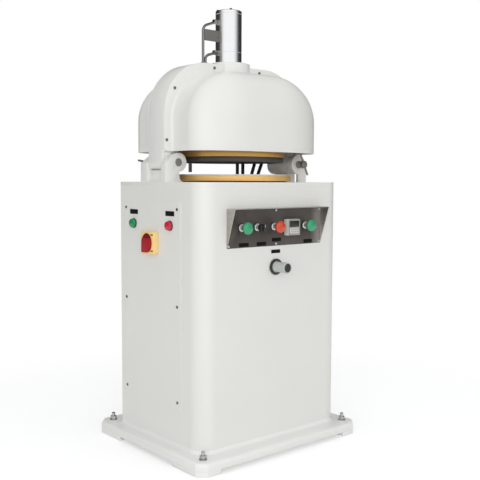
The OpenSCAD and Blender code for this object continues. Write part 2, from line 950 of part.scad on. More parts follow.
// Outline of the yoke's arch, shrunk by a given amount, down to a given height
module arch_outline(shrink, z0) {
    half = yoke_half_w - shrink;
    r = yoke_r - shrink;
    translate([-half, z0]) square([2 * half, shoulder_z - z0]);
    translate([-shoulder_x, z0]) square([2 * shoulder_x, yoke_top - shrink - z0]);
    intersection() {
        for (s = [-1, 1]) translate([s * shoulder_x, shoulder_z]) circle(r);
        translate([-half, shoulder_z]) square([2 * half, r]);
    }
}

// The rounded end of a leg, with its barrel, in X and Z
module leg_end() {
    translate([pin_x, pin_z]) circle(barrel_r);
    translate([yoke_half_w - toe_r, pin_z]) circle(toe_r);
    translate([pin_x, pin_z - toe_r]) square([yoke_half_w - toe_r - pin_x, 2 * toe_r]);
    translate([yoke_half_w - yoke_t, pin_z]) square([yoke_t, cover_z0 - free - pin_z]);
}

module yoke() {
    color(paint) difference() {
        union() {
            along_y(-yoke_y, yoke_y) difference() {
                arch_outline(0, cover_z0 - over);
                arch_outline(yoke_t, cover_z0 - 2 * over);
            }
            mirror([1, 0, 0]) along_y(left_barrel_y0, barrel_y1) leg_end();
            along_y(right_barrel_y0, barrel_y1) leg_end();
            rod_z(0, 0, boss_r, yoke_top - yoke_t, boss_top);
            difference() {
                rod_z(0, 0, boss_r, boss_top - over, cap_z0);
                rod_z(0, 0, seat_r + free, boss_top - over, cap_z0 + over);
                block([-boss_r - over, 0, boss_top - over], [boss_r + over, boss_r + over, cap_z0 + over]);
            }
        }
        rod_y(-pin_x, pin_z, pin_r + bush_t, left_barrel_y0 - over, barrel_y1 + over);
        rod_y(pin_x, pin_z, pin_r + bush_t, right_barrel_y0 - over, barrel_y1 + over);
        rod_z(0, 0, rod_r + run_fit, yoke_top - yoke_t - over, boss_top + over);
        for (x = [-guide_x, guide_x]) rod_z(x, 0, guide_bush_r, yoke_top - yoke_t - over, guide_bush_top);
    }
}

module yoke_bushes() {
    color(bronze) {
        for (side = [[-pin_x, left_barrel_y0], [pin_x, right_barrel_y0]]) difference() {
            rod_y(side[0], pin_z, pin_r + bush_t, side[1], barrel_y1);
            rod_y(side[0], pin_z, pin_r + run_fit, side[1] - over, barrel_y1 + over);
        }
        for (x = [-guide_x, guide_x]) difference() {
            rod_z(x, 0, guide_bush_r, yoke_top - yoke_t, guide_bush_top);
            rod_z(x, 0, guide_r + run_fit, yoke_top - yoke_t - over, guide_bush_top + over);
        }
    }
}

// Front view of a cover's bulge, shrunk by a given amount, down to a given height
module bulge_outline(shrink, z0) {
    side = bulge_side_r - shrink;
    rise = bulge_rise - shrink;
    half = bulge_mid_x + side;
    translate([-half, z0]) square([2 * half, crown_z - z0]);
    intersection() {
        hull() for (s = [-1, 1]) translate([s * bulge_mid_x, crown_z]) scale([side, rise]) circle(1);
        translate([-half, crown_z]) square([2 * half, rise]);
    }
}

// A cover's bulge on the front of the yoke, shrunk by a given amount
module bulge(depth, shrink) {
    side = bulge_side_r - shrink;
    corner = bulge_corner_r - shrink;
    rise = bulge_rise - shrink;
    y = -yoke_y - flange_t - depth + bulge_corner_r;
    past = shrink > 0 ? over : 0;
    z0 = cover_z0 - past;
    hull() {
        for (s = [-1, 1]) translate([s * bulge_mid_x, y, crown_z]) {
            intersection() {
                scale([side, corner, rise]) sphere(1, $fn = cover_facets);
                translate([-side, -corner, 0]) cube([2 * side, 2 * corner, rise]);
            }
            translate([0, 0, z0 - crown_z]) scale([side, corner, crown_z - z0])
                cylinder(h = 1, r = 1, $fn = cover_facets);
        }
        along_y(-yoke_y - flange_t, -yoke_y + past) bulge_outline(shrink, z0, $fn = cover_facets);
    }
}

// A bulged cover on the front of the yoke with its screwed flange
module cover(depth) {
    difference() {
        union() {
            bulge(depth, 0);
            along_y(-yoke_y - flange_t, -yoke_y) arch_outline(0, cover_z0);
        }
        bulge(depth, cover_t);
        rod_z(0, 0, boss_r + free, cover_z0 - over, boss_top + over);
        block([-yoke_half_w, -yoke_y, cover_z0 - over], [yoke_half_w, bulge_corner_r, boss_top]);
    }
}

module front_cover() {
    color(paint) cover(front_bulge);
}

module rear_cover() {
    color(paint) mirror([0, 1, 0]) cover(rear_bulge);
}

module head_screws() {
    y = yoke_y + flange_t;
    side_x = yoke_half_w - head_screw_inset;
    lean_x = shoulder_x + (yoke_r - 2 * head_screw_inset) * cos(head_screw_lean);
    lean_z = shoulder_z + (yoke_r - 2 * head_screw_inset) * sin(head_screw_lean);
    top_x = boss_r + 3 * head_screw_inset;
    places = [[side_x, cover_z0 + 4 * head_screw_inset], [lean_x, lean_z],
              [top_x, yoke_top - head_screw_inset - head_screw_r]];
    color(chrome) {
        for (s = [-1, 1], p = places) {
            rod_y(s * p[0], p[1], head_screw_r, -y - head_screw_h, -y);
            rod_y(s * p[0], p[1], head_screw_r, y, y + head_screw_h);
        }
        for (k = [0 : 3]) rotate([0, 0, 45 + 90 * k])
            rod_z(cap_screw_pcd, 0, cap_screw_r, tube_z1 + top_cap_h, tube_z1 + top_cap_h + cap_screw_h);
    }
}

module cylinder_tube() {
    color(chrome) tube_z(tube_r, tube_bore_r, tube_z0, tube_z1);
}

module cylinder_caps() {
    color(dark_steel) {
        tube_z(seat_r, rod_r + run_fit, cyl_z0, cap_z0);
        tube_z(tube_r, rod_r + run_fit, cap_z0, tube_z0);
        rod_z(0, 0, tube_r, tube_z1, tube_z1 + top_cap_h);
    }
}

// A pipe from a port on the cylinder's left side, out and down to a socket on the yoke
module port_pipe(z, out, drop) {
    run = out - tube_r - port_len / 2;
    rod_x(0, z, port_r, -tube_r - port_len, -tube_r);
    translate([run - out, 0, z]) rotate([0, -90 - atan2(drop, run), 0])
        cylinder(h = norm([run, drop]), r = pipe_r);
    translate([-out, 0, z - drop]) sphere(pipe_r + bend_swell);
    rod_z(-out, 0, pipe_r, yoke_top + pipe_sock_h, z - drop);
    rod_z(-out, 0, pipe_sock_r, yoke_top, yoke_top + pipe_sock_h);
}

module hydraulic_pipes() {
    color(dark_steel) {
        port_pipe(port_high, pipe_out_high, pipe_drop_high);
        port_pipe(port_low, pipe_out_low, pipe_drop_low);
    }
}

module pipe_bracket() {
    x1 = -pipe_out_high + pipe_r;
    color(steel) difference() {
        block([x1, -clip_t / 2, clip_z0], [0, clip_t / 2, clip_z1]);
        rod_z(0, 0, tube_r, clip_z0 - over, clip_z1 + over);
    }
}

module hose_manifold() {
    color(steel) {
        translate([manifold_x, manifold_y, manifold_z]) rotate([0, 0, -manifold_lean])
            translate([-manifold_len / 2, -manifold_w / 2, 0]) cube([manifold_len, manifold_w, manifold_t]);
        block([arm_x0, yoke_y, manifold_z + arm_step], [arm_x1, arm_y1, manifold_z + manifold_t - arm_step]);
    }
}

module home_sensor() {
    wall_y = yoke_y + flange_t + rear_bulge - cover_t;
    color(cast_grey) {
        rod_z(sensor_x, sensor_y, sensor_r, sensor_z0, sensor_z1);
        block([sensor_x - sensor_leaf, sensor_y, sensor_leaf_z],
              [sensor_x + sensor_leaf, wall_y, sensor_leaf_z + sensor_leaf_t]);
    }
}

module lock_pin() {
    color(dark_steel) {
        rod_y(pin_x, pin_z, pin_r, lock_end, lock_nose);
        translate([pin_x, lock_bar_y, pin_z]) rotate([0, -lock_bar_lean, 0])
            translate([0, 0, -lock_bar_half]) cylinder(h = 2 * lock_bar_half, r = bar_r);
    }
}

module piston_rod() {
    color(chrome) {
        rod_z(0, 0, rod_r, crosshead_top, rod_top);
        rod_z(0, 0, tube_bore_r - run_fit, rod_top - piston_h, rod_top);
    }
}

// A square head plate with its corners turned round
module head_plate(z0, t) {
    intersection() {
        block([-plate_half, -plate_half, z0], [plate_half, plate_half, z0 + t]);
        rod_z(0, 0, plate_corner_r, z0, z0 + t);
    }
}

// The four ring posts, drawn with a given radius
module at_posts(r, z0, z1) {
    for (k = [0 : 3]) rotate([0, 0, 45 + 90 * k]) rod_z(post_at, 0, r, z0, z1);
}

module crosshead() {
    color(cast_grey) difference() {
        head_plate(crosshead_z, head_plate_t);
        for (k = [0 : 3]) rotate([0, 0, ram_turn + 90 * k])
            rod_z(ram_at, 0, ram_rod_r + post_fit, crosshead_z - over, crosshead_top + over);
    }
}

module press_rods() {
    color(steel) {
        at_posts(post_r, ring_z1, crosshead_z);
        for (x = [-guide_x, guide_x]) rod_z(x, 0, guide_r, crosshead_top, guide_top);
    }
}

module press_ring() {
    color(gold) tube_z(ring_r, ring_bore_r, ring_z0, ring_z1);
}

module mould_ring() {
    color(black) tube_z(ring_r - mould_step, ring_bore_r, mould_z0, ring_z0);
}

module compact_cylinders() {
    z1 = crosshead_top + ram_h;
    color(steel) for (k = [0 : 3]) rotate([0, 0, ram_turn + 90 * k]) difference() {
        rod_z(ram_at, 0, ram_r, crosshead_top, z1);
        rod_z(ram_at, 0, ram_rod_r + post_fit, crosshead_top - over, z1 - ram_roof);
    }
}

// The two rods of a stage up into its compact cylinders
module ram_rods(z0, turn) {
    for (s = [0, 180]) rotate([0, 0, ram_turn + turn + s])
        rod_z(ram_at, 0, ram_rod_r, z0, crosshead_top + ram_rod_up);
}

// The rods over the thirty cells, drawn with a given radius
module at_cells(r, z0, z1) {
    for (band = [0 : len(cell_counts) - 1], k = [0 : cell_counts[band] - 1])
        rotate([0, 0, (k + half_share) * 360 / cell_counts[band]])
            rod_z((band_edges[band] + band_edges[band + 1]) / 2, 0, r, z0, z1);
}

// The radial blades of one ring of cells, with a given thickness
module radial_blades(band, t, z0, z1) {
    r0 = band_edges[band] - knife_t / 2;
    r1 = band_edges[band + 1] - knife_t / 2;
    for (k = [0 : cell_counts[band] - 1]) rotate([0, 0, k * 360 / cell_counts[band]])
        block([r0, -t / 2, z0], [r1, t / 2, z1]);
}

module divider_knives() {
    color(steel) {
        difference() {
            head_plate(knife_plate_z, carrier_t);
            at_posts(post_r + post_fit, knife_plate_z - over, knife_plate_z + carrier_t + over);
            at_cells(pad_rod_r + pad_rod_fit, knife_plate_z - over, knife_plate_z + carrier_t + over);
        }
        for (band = [0 : len(cell_counts) - 1]) {
            radial_blades(band, knife_t, knife_z0, knife_plate_z + carrier_t / 2);
            tube_z(band_edges[band + 1], band_edges[band + 1] - knife_t,
                   knife_z0, knife_plate_z + carrier_t / 2);
        }
        ram_rods(knife_plate_z + carrier_t / 2, 0);
    }
}

module press_pads() {
    slot = knife_t + 2 * knife_gap;
    color(nylon) {
        for (band = [0 : len(cell_counts) - 1]) difference() {
            rod_z(0, 0, band_edges[band + 1] - knife_t - knife_gap, pad_z0, pad_z0 + pad_t);
            if (band > 0) rod_z(0, 0, band_edges[band] + knife_gap, pad_z0 - over, pad_z0 + pad_t + over);
            radial_blades(band, slot, pad_z0 - over, pad_z0 + pad_t + over);
        }
        at_cells(pad_rod_r, pad_z0 + pad_t / 2, pad_plate_z + carrier_t / 2);
        difference() {
            head_plate(pad_plate_z, carrier_t);
            at_posts(post_r + post_fit, pad_plate_z - over, pad_plate_z + carrier_t + over);
            for (s = [0, 180]) rotate([0, 0, ram_turn + s])
                rod_z(ram_at, 0, ram_rod_r + post_fit, pad_plate_z - over, pad_plate_z + carrier_t + over);
        }
        ram_rods(pad_plate_z + carrier_t / 2, 90);
    }
}

module eccentric_shaft() {
    color(dark_steel) {
        rod_z(0, 0, shaft_r, shaft_z0, crank_z0);
        rod_z(0, 0, crank_r, crank_z0, crank_z0 + crank_t);
        rod_z(throw_x, throw_y, crank_pin_r, crank_z0 + crank_t, table_z1 - blind - free);
    }
}

// A pulley about Z with one V-groove
module pulley(r, bore) {
    z1 = pulley_z0 + pulley_h;
    mid = pulley_z0 + pulley_h / 2;
    rotate_extrude() polygon([[bore, pulley_z0], [r, pulley_z0], [r, mid - groove_half],
                              [r - groove_depth, mid - groove_half], [r - groove_depth, mid + groove_half],
                              [r, mid + groove_half], [r, z1], [bore, z1]]);
}

module driven_pulley() {
    color(cast_grey) pulley(pulley_big_r, shaft_r);
}

module motor_pulley() {
    color(cast_grey) translate([motor_x, motor_y, 0]) {
        pulley(pulley_small_r, motor_shaft_r);
        rod_z(0, 0, motor_shaft_r, pulley_z0, (motor_z0 + deck_under) / 2 - over);
    }
}

// A guide crank: a stub in the deck, a web, and a stub in the table
module guide_crank(x) {
    web_z = cab_top + crank_web_gap;
    color(dark_steel) translate([x, guide_crank_y, 0]) {
        rod_z(0, 0, crank_stub_r, cab_top - crank_stub_down, web_z);
        rod_z(throw_x / 2, throw_y / 2, crank_web_r, web_z, web_z + crank_web_t);
        rod_z(throw_x, throw_y, crank_stub_r, web_z + crank_web_t, table_z0 + crank_stub_up);
    }
}

module guide_crank_left() {
    guide_crank(-guide_crank_x);
}

module guide_crank_right() {
    guide_crank(guide_crank_x);
}

module table_plate() {
    color(steel) translate([throw_x, throw_y, 0]) difference() {
        rod_z(0, 0, table_plate_r, table_z0, table_z1);
        rod_z(0, 0, crank_pin_r + run_fit, table_z0 - over, table_z1 - blind);
        for (s = [-1, 1])
            translate([s * guide_crank_x, guide_crank_y, 0])
                rod_z(0, 0, crank_stub_r + run_fit, table_z0 - over, table_z1 - blind);
    }
}

module table_ring() {
    color(gold) translate([throw_x, throw_y, 0])
        tube_z(table_r, table_plate_r, table_z0 - ring_drop, table_z1);
}

module rounding_plate() {
    z0 = table_z1 + plate_lift;
    color(nylon) rod_z(throw_x, throw_y, plate_r, z0, z0 + plate_t);
}

// A mushroom button: a broad head on a stem through the hood
module mushroom(x) {
    rod_y(x, control_z, button_r, head_front, head_front + head_len);
    rod_y(x, control_z, stem_r, head_front + head_len, -cab_front + block_len / 4);
}

module start_button_left() {
    color(green) mushroom(start_left_x);
}

module start_button_right() {
    color(green) mushroom(start_right_x);
}

module stop_button() {
    color(red) mushroom(stop_x);
}

module selector_knob() {
    grip_y0 = head_front;
    color(black) {
        rod_y(selector_x, control_z, selector_r, grip_y0 + selector_grip_len, hood_y - collar_len - free);
        rod_y(selector_x, control_z, stem_r, hood_y - collar_len - free, -cab_front + block_len / 4);
        block([selector_x - selector_grip_w / 2, grip_y0, control_z - selector_r],
              [selector_x + selector_grip_w / 2, grip_y0 + selector_grip_len, control_z + selector_r]);
    }
}

module adjust_knob() {
    y0 = -cab_front - knob_skirt_t - free;
    color(cast_grey) {
        rod_y(0, knob_z, knob_r, -knob_end, y0);
        rod_y(0, knob_z, knob_skirt_r, y0, -cab_front - free);
        rod_y(0, knob_z, knob_shaft_r, -cab_front - free, -cab_front + knob_shaft_in);
    }
}

module switch_handle() {
    x1 = side_x - switch_plate_t - free;
    x0 = x1 - switch_knob_t;
    color(red) {
        rod_x(switch_y, switch_z, switch_knob_r, x0, x1);
        block([x0, switch_y, switch_z - switch_knob_r], [x1, switch_y + switch_knob_r, switch_z]);
        rod_x(switch_y, switch_z, switch_stem_r, x1, -cab_w / 2 + switch_block_len / 4);
    }
}

base_casting();
levelling_bolts();
body_shell();
top_deck();
left_side_panel();
rear_panel();
panel_screws();
control_hood();
button_collars();
contact_blocks();
timer();
label_plates();
lamp_green();
lamp_red();
switch_plate();
cable_gland();
hose_fittings();
hydraulic_hoses();
hinge_pin();
spindle_housing();
spindle_bearings();
drive_belt();
rounding_motor();
oil_tank();
pump_motor();
yoke();
yoke_bushes();
front_cover();
rear_cover();
head_screws();
cylinder_tube();
cylinder_caps();
hydraulic_pipes();
pipe_bracket();
hose_manifold();
home_sensor();
lock_pin();
piston_rod();
crosshead();
press_rods();
press_ring();
mould_ring();
compact_cylinders();
divider_knives();
press_pads();
eccentric_shaft();
driven_pulley();
guide_crank_left();
guide_crank_right();
table_plate();
table_ring();
rounding_plate();
motor_pulley();
start_button_left();
start_button_right();
stop_button();
selector_knob();
adjust_knob();
switch_handle();
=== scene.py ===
import math
import bmesh
import bpy
from mathutils import Matrix, Vector


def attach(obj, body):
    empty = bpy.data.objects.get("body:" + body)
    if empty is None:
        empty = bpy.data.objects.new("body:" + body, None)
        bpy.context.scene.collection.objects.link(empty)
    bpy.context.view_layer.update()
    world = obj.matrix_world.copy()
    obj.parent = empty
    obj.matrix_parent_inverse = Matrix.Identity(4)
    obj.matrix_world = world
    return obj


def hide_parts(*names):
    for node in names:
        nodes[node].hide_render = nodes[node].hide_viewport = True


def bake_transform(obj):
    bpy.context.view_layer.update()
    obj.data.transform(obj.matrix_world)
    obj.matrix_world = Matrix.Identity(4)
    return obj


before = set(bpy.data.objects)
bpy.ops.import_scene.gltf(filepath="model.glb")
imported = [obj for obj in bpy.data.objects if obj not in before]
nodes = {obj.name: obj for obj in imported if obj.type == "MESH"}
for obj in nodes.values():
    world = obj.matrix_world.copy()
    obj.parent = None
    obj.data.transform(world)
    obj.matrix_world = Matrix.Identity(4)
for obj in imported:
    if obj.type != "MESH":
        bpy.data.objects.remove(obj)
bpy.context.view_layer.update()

# The stage: a pale studio floor that runs out into a white room, lit by three soft boxes.
# It is only there to stand the machine on and to take its soft shadow.
# In the metal the room is bright on the camera's side and dark on the other.


def clear_bench():
    """Leaves edit mode and lets go of every piece."""
    if bpy.context.object and bpy.context.object.mode != "OBJECT":
        bpy.ops.object.mode_set(mode="OBJECT")
    bpy.ops.object.select_all(action="DESELECT")


def ramp(tree, low, high, to_low, to_high):
    """A soft step from to_low to to_high as its value goes from low to high."""
    step = tree.nodes.new("ShaderNodeMapRange")
    step.interpolation_type = "SMOOTHSTEP"
    for socket, value in (("From Min", low), ("From Max", high), ("To Min", to_low), ("To Max", to_high)):
        step.inputs[socket].default_value = value
    return step


def mirror_rays(tree, *kinds):
    """One for rays of any of the named kinds, and nought for the rest."""
    path = tree.nodes.new("ShaderNodeLightPath")
    found = path.outputs[kinds[0]]
    for kind in kinds[1:]:
        either = tree.nodes.new("ShaderNodeMath")
        either.operation = "MAXIMUM"
        tree.links.new(found, either.inputs[0])
        tree.links.new(path.outputs[kind], either.inputs[1])
        found = either.outputs[0]
    return found


def mix_shaders(tree, share, one, other):
    """One surface where share is nought, the other where it is one."""
    mixed = tree.nodes.new("ShaderNodeMixShader")
    for socket, source in zip(mixed.inputs, (share, one, other)):
        tree.links.new(source, socket)
    return mixed.outputs[0]


floor_span, floor_glow, shadow_end, white_start = 16, 0.42, 0.75, 1.6
clear_bench()
bpy.ops.mesh.primitive_plane_add(size=floor_span)
floor = bpy.context.object
floor.name = "studio_floor"
floor_mat = bpy.data.materials.new("studio_floor")
floor_mat.use_nodes = True
tree = floor_mat.node_tree
shade = tree.nodes["Principled BSDF"]
shade.inputs["Base Color"].default_value = (0.70, 0.70, 0.697, 1)
shade.inputs["Roughness"].default_value = 0.7
glow = tree.nodes.new("ShaderNodeEmission")
glow.inputs["Strength"].default_value = floor_glow
white = tree.nodes.new("ShaderNodeEmission")
white.inputs["Strength"].default_value = 1.0
lit = tree.nodes.new("ShaderNodeAddShader")
tree.links.new(shade.outputs[0], lit.inputs[0])
tree.links.new(glow.outputs[0], lit.inputs[1])
spot = tree.nodes.new("ShaderNodeTexCoord")
reach = tree.nodes.new("ShaderNodeVectorMath")
reach.operation = "LENGTH"
tree.links.new(spot.outputs["Object"], reach.inputs[0])
run_out = ramp(tree, shadow_end, white_start, 0, 1)
tree.links.new(reach.outputs["Value"], run_out.inputs["Value"])
shown = mix_shaders(tree, run_out.outputs["Result"], lit.outputs[0], white.outputs[0])
looked_at = mirror_rays(tree, "Is Camera Ray", "Is Glossy Ray", "Is Transmission Ray")
surface = mix_shaders(tree, looked_at, shade.outputs[0], shown)
tree.links.new(surface, tree.nodes["Material Output"].inputs["Surface"])
floor.data.materials.append(floor_mat)

room_light, open_way, dark_side, bright_side = 0.58, (-0.574, -0.819, 0), 0.03, 1.0
world = bpy.context.scene.world or bpy.data.worlds.new("studio")
bpy.context.scene.world = world
world.use_nodes = True
tree = world.node_tree
room = tree.nodes["Background"]
room.inputs["Color"].default_value = (0.97, 0.985, 1.0, 1)
room.inputs["Strength"].default_value = room_light
white = tree.nodes.new("ShaderNodeBackground")
white.inputs["Color"].default_value = (1, 1, 1, 1)
white.inputs["Strength"].default_value = 1.0
mirrored = tree.nodes.new("ShaderNodeBackground")
mirrored.inputs["Color"].default_value = (0.98, 0.99, 1.0, 1)
spot = tree.nodes.new("ShaderNodeTexCoord")
toward = tree.nodes.new("ShaderNodeVectorMath")
toward.operation = "DOT_PRODUCT"
toward.inputs[1].default_value = open_way
tree.links.new(spot.outputs["Generated"], toward.inputs[0])
open_side = ramp(tree, -0.12, 0.8, dark_side, bright_side)
tree.links.new(toward.outputs["Value"], open_side.inputs["Value"])
tree.links.new(open_side.outputs["Result"], mirrored.inputs["Strength"])
in_metal = mix_shaders(tree, mirror_rays(tree, "Is Glossy Ray"), room.outputs[0], mirrored.outputs[0])
seen = mirror_rays(tree, "Is Camera Ray", "Is Transmission Ray")
behind = mix_shaders(tree, seen, in_metal, white.outputs[0])
tree.links.new(behind, tree.nodes["World Output"].inputs["Surface"])


def soft_box(name, place, aim, size, power):
    """A wide lamp at a place, turned to its aim and not seen in the metal."""
    clear_bench()
    bpy.ops.object.light_add(type="AREA", location=place)
    lamp = bpy.context.object
    lamp.name = name
    lamp.data.shape = "RECTANGLE"
    lamp.data.size, lamp.data.size_y = size
    lamp.data.energy = power
    lamp.visible_glossy = False
    lamp.rotation_euler = (Vector(aim) - Vector(place)).to_track_quat("-Z", "Y").to_euler()


soft_box("key_box", (-2.9, -3.1, 1.45), (0, 0, 1.0), (3.6, 2.6), 79)
soft_box("front_box", (1.4, -3.8, 1.8), (0, 0, 1.0), (2.8, 2.2), 14)
soft_box("top_box", (0.3, 0.2, 4.2), (0, 0, 0.9), (3.0, 3.0), 42)

camera_place, lens_mm, sensor_mm = (-1.7539, -2.13457, 0.90599), 58.448, 36.0
yaw, pitch, roll = 0.703119, 0.0763493, 0.0036137
clear_bench()
bpy.ops.object.camera_add(location=camera_place)
camera = bpy.context.object
camera.name = "photo_camera"
camera.data.sensor_width = sensor_mm
camera.data.lens = lens_mm
turned = Matrix.Rotation(-yaw, 3, "Z") @ Matrix.Rotation(math.pi / 2 - pitch, 3, "X")
camera.rotation_euler = (turned @ Matrix.Rotation(roll, 3, "Z")).to_euler()
bpy.context.scene.camera = camera
bpy.context.scene.view_settings.view_transform = "Standard"

# The base: one grey-iron casting, milled flat under its four corner feet.
# Its plate has cut corners, and a hollow-curved collar runs up to the cabinet's foot.
# Its enamel is painted a little paler than the warm off-white of the rest of the machine, as painted light
# that makes up for the shade from the cabinet and the floor.


def finish(name, colour, patch, patch_scale, rough, grain_scale, grain, metallic=0.0, stretch=(1, 1, 1)):
    """A finish whose colour drifts towards patch, with grain in its roughness and its surface."""
    mat = bpy.data.materials.new(name)
    mat.use_nodes = True
    tree = mat.node_tree
    surface = tree.nodes["Principled BSDF"]
    place = tree.nodes.new("ShaderNodeTexCoord")
    turn = tree.nodes.new("ShaderNodeMapping")
    turn.inputs["Scale"].default_value = stretch
    drift = tree.nodes.new("ShaderNodeTexNoise")
    drift.inputs["Scale"].default_value = patch_scale
    drift.inputs["Detail"].default_value = 4
    blend = tree.nodes.new("ShaderNodeMix")
    blend.data_type = "RGBA"
    blend.inputs[6].default_value = (*colour, 1)
    blend.inputs[7].default_value = (*patch, 1)
    fine = tree.nodes.new("ShaderNodeTexNoise")
    fine.inputs["Scale"].default_value = grain_scale
    fine.inputs["Detail"].default_value = 3
    spread = tree.nodes.new("ShaderNodeMapRange")
    spread.inputs["From Min"].default_value = 0.3
    spread.inputs["From Max"].default_value = 0.7
    spread.inputs["To Min"].default_value = rough[0]
    spread.inputs["To Max"].default_value = rough[1]
    bump = tree.nodes.new("ShaderNodeBump")
    bump.inputs["Strength"].default_value = grain
    bump.inputs["Distance"].default_value = 0.0006
    link = tree.links.new
    link(place.outputs["Object"], turn.inputs["Vector"])
    link(turn.outputs["Vector"], drift.inputs["Vector"])
    link(turn.outputs["Vector"], fine.inputs["Vector"])
    link(drift.outputs[0], blend.inputs[0])
    link(blend.outputs[2], surface.inputs["Base Color"])
    link(fine.outputs[0], spread.inputs["Value"])
    link(spread.outputs["Result"], surface.inputs["Roughness"])
    link(fine.outputs[0], bump.inputs["Height"])
    link(bump.outputs["Normal"], surface.inputs["Normal"])
    surface.inputs["Metallic"].default_value = metallic
    return mat


enamel = finish(
    "warm_white_enamel", (0.80, 0.795, 0.765), (0.765, 0.757, 0.722), 5.0, (0.28, 0.42), 420, 0.05
)
enamel.node_tree.nodes["Principled BSDF"].inputs["Coat Weight"].default_value = 0.1
enamel.node_tree.nodes["Principled BSDF"].inputs["Coat Roughness"].default_value = 0.2


def pick(obj, kind, test):
    """Selects only those vertices, edges or faces of a mesh in edit mode that pass the test."""
    bpy.ops.mesh.select_mode(type=kind)
    bpy.ops.mesh.select_all(action="DESELECT")
    mesh = bmesh.from_edit_mesh(obj.data)
    found = {"VERT": mesh.verts, "EDGE": mesh.edges, "FACE": mesh.faces}[kind]
    for item in found:
        if test(item):
            item.select_set(True)
    mesh.select_flush_mode()
    bmesh.update_edit_mesh(obj.data)


def bench_block(name, low, high):
    """A block between two corners, with its place in its mesh, left in edit mode."""
    clear_bench()
    bpy.ops.mesh.primitive_cube_add(size=1, location=[(a + b) / 2 for a, b in zip(low, high)])
    block = bpy.context.object
    block.name = name
    block.scale = [b - a for a, b in zip(low, high)]
    bpy.ops.object.transform_apply(location=True, rotation=True, scale=True)
    bpy.ops.object.mode_set(mode="EDIT")
    return block


def hold(obj):
    """Takes one piece on the bench as the active one."""
    clear_bench()
    obj.select_set(True)
    bpy.context.view_layer.objects.active = obj


def break_edges(obj, width, steps=2, angle=35):
    """Breaks every sharp edge by a small round, and shades the rest smooth."""
    hold(obj)
    round_off = obj.modifiers.new("round", "BEVEL")
    round_off.width = width
    round_off.segments = steps
    round_off.limit_method = "ANGLE"
    round_off.angle_limit = math.radians(angle)
    round_off.harden_normals = False
    bpy.ops.object.modifier_apply(modifier="round")
    bpy.ops.object.shade_smooth_by_angle(angle=math.radians(32))


def coat(obj, *mats):
    """Gives a piece its own materials in place of any others."""
    obj.data.materials.clear()
    for mat in mats:
        obj.data.materials.append(mat)


def fit(obj, body, slot, *stands_for):
    """Hangs a finished piece on its body and hides what it stands for."""
    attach(obj, body)
    if stands_for:
        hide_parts(*stands_for)


def join(name, pieces):
    """Makes several pieces one, under a new name."""
    clear_bench()
    for piece in pieces:
        piece.select_set(True)
    bpy.context.view_layer.objects.active = pieces[0]
    bpy.ops.object.join()
    pieces[0].name = name
    return pieces[0]


half_x, half_y, cut_corner = 0.357, 0.308, 0.028
foot_top, plate_top, rim_round = 0.014, 0.043, 0.010
foot_wide, foot_long = 0.080, 0.150
base = bench_block("base_plate", (-half_x, -half_y, foot_top), (half_x, half_y, plate_top))
pick(base, "EDGE", lambda e: abs(e.verts[0].co.z - e.verts[1].co.z) > 0.01)
bpy.ops.mesh.bevel(offset=cut_corner, segments=1)
pick(base, "EDGE", lambda e: all(v.co.z > plate_top - 0.0001 for v in e.verts))
bpy.ops.mesh.bevel(offset=rim_round, segments=6)
break_edges(base, 0.0018)
feet = []
for sx in (-1, 1):
    for sy in (-1, 1):
        xs = sorted((sx * half_x, sx * (half_x - foot_wide)))
        ys = sorted((sy * half_y, sy * (half_y - foot_long)))
        foot = bench_block("base_foot", (xs[0], ys[0], 0), (xs[1], ys[1], foot_top + 0.0005))
        pick(foot, "EDGE", lambda e: all(abs(v.co.x) > half_x - 0.001 and abs(v.co.y) > half_y - 0.001
                                         for v in e.verts))
        bpy.ops.mesh.bevel(offset=cut_corner, segments=1)
        break_edges(foot, 0.0015)
        feet.append(foot)


cab_wide, cab_deep, cab_y, cab_corner = 0.622, 0.460, -0.018, 0.058


def cabinet_plan(name, grow, z):
    """The cabinet's plan as one face, round at its front corners, left in edit mode."""
    clear_bench()
    bpy.ops.mesh.primitive_plane_add(size=1, location=(0, cab_y, z))
    plan = bpy.context.object
    plan.name = name
    plan.scale = (cab_wide + 2 * grow, cab_deep + 2 * grow, 1)
    bpy.ops.object.transform_apply(location=True, rotation=True, scale=True)
    bpy.ops.object.mode_set(mode="EDIT")
    pick(plan, "VERT", lambda v: v.co.y < 0)
    bpy.ops.mesh.bevel(offset=cab_corner + grow, segments=20, affect="VERTICES")
    pick(plan, "VERT", lambda v: v.co.y > 0.2)
    bpy.ops.mesh.bevel(offset=grow, segments=8, affect="VERTICES")
    return plan


lip, rise, steps = 0.010, 0.012, 8
collar = cabinet_plan("base_collar", lip, plate_top - 0.0001)
last_in, last_up = lip, 0.0
for step in range(1, steps + 1):
    arc = math.pi / 2 * step / steps
    left, up = lip * (1 - math.sin(arc)), rise * (1 - math.cos(arc))
    pick(collar, "FACE", lambda f: len(f.verts) > 12)
    bpy.ops.mesh.inset(thickness=max(last_in - left, 0.00005), depth=0)
    bpy.ops.transform.translate(value=(0, 0, up - last_up))
    last_in, last_up = left, up
hold(collar)
bpy.ops.object.shade_smooth_by_angle(angle=math.radians(50))
base = join("base_casting_dressed", [base, collar, *feet])
# The base's paler enamel is painted light, lifting the base out of its shade.
base_enamel_painted_light = finish("base_enamel_painted_light", (0.87, 0.868, 0.845), (0.835, 0.83, 0.805), 6.0, (0.30, 0.45), 420, 0.06)
coat(base, base_enamel_painted_light)
fit(base, "frame", "paint", "base_casting")

# Levelling bolts: a zinc-plated stud in each corner with a washer and a hexagon nut.
# The nuts are turned to set the machine level, then tightened on the casting.


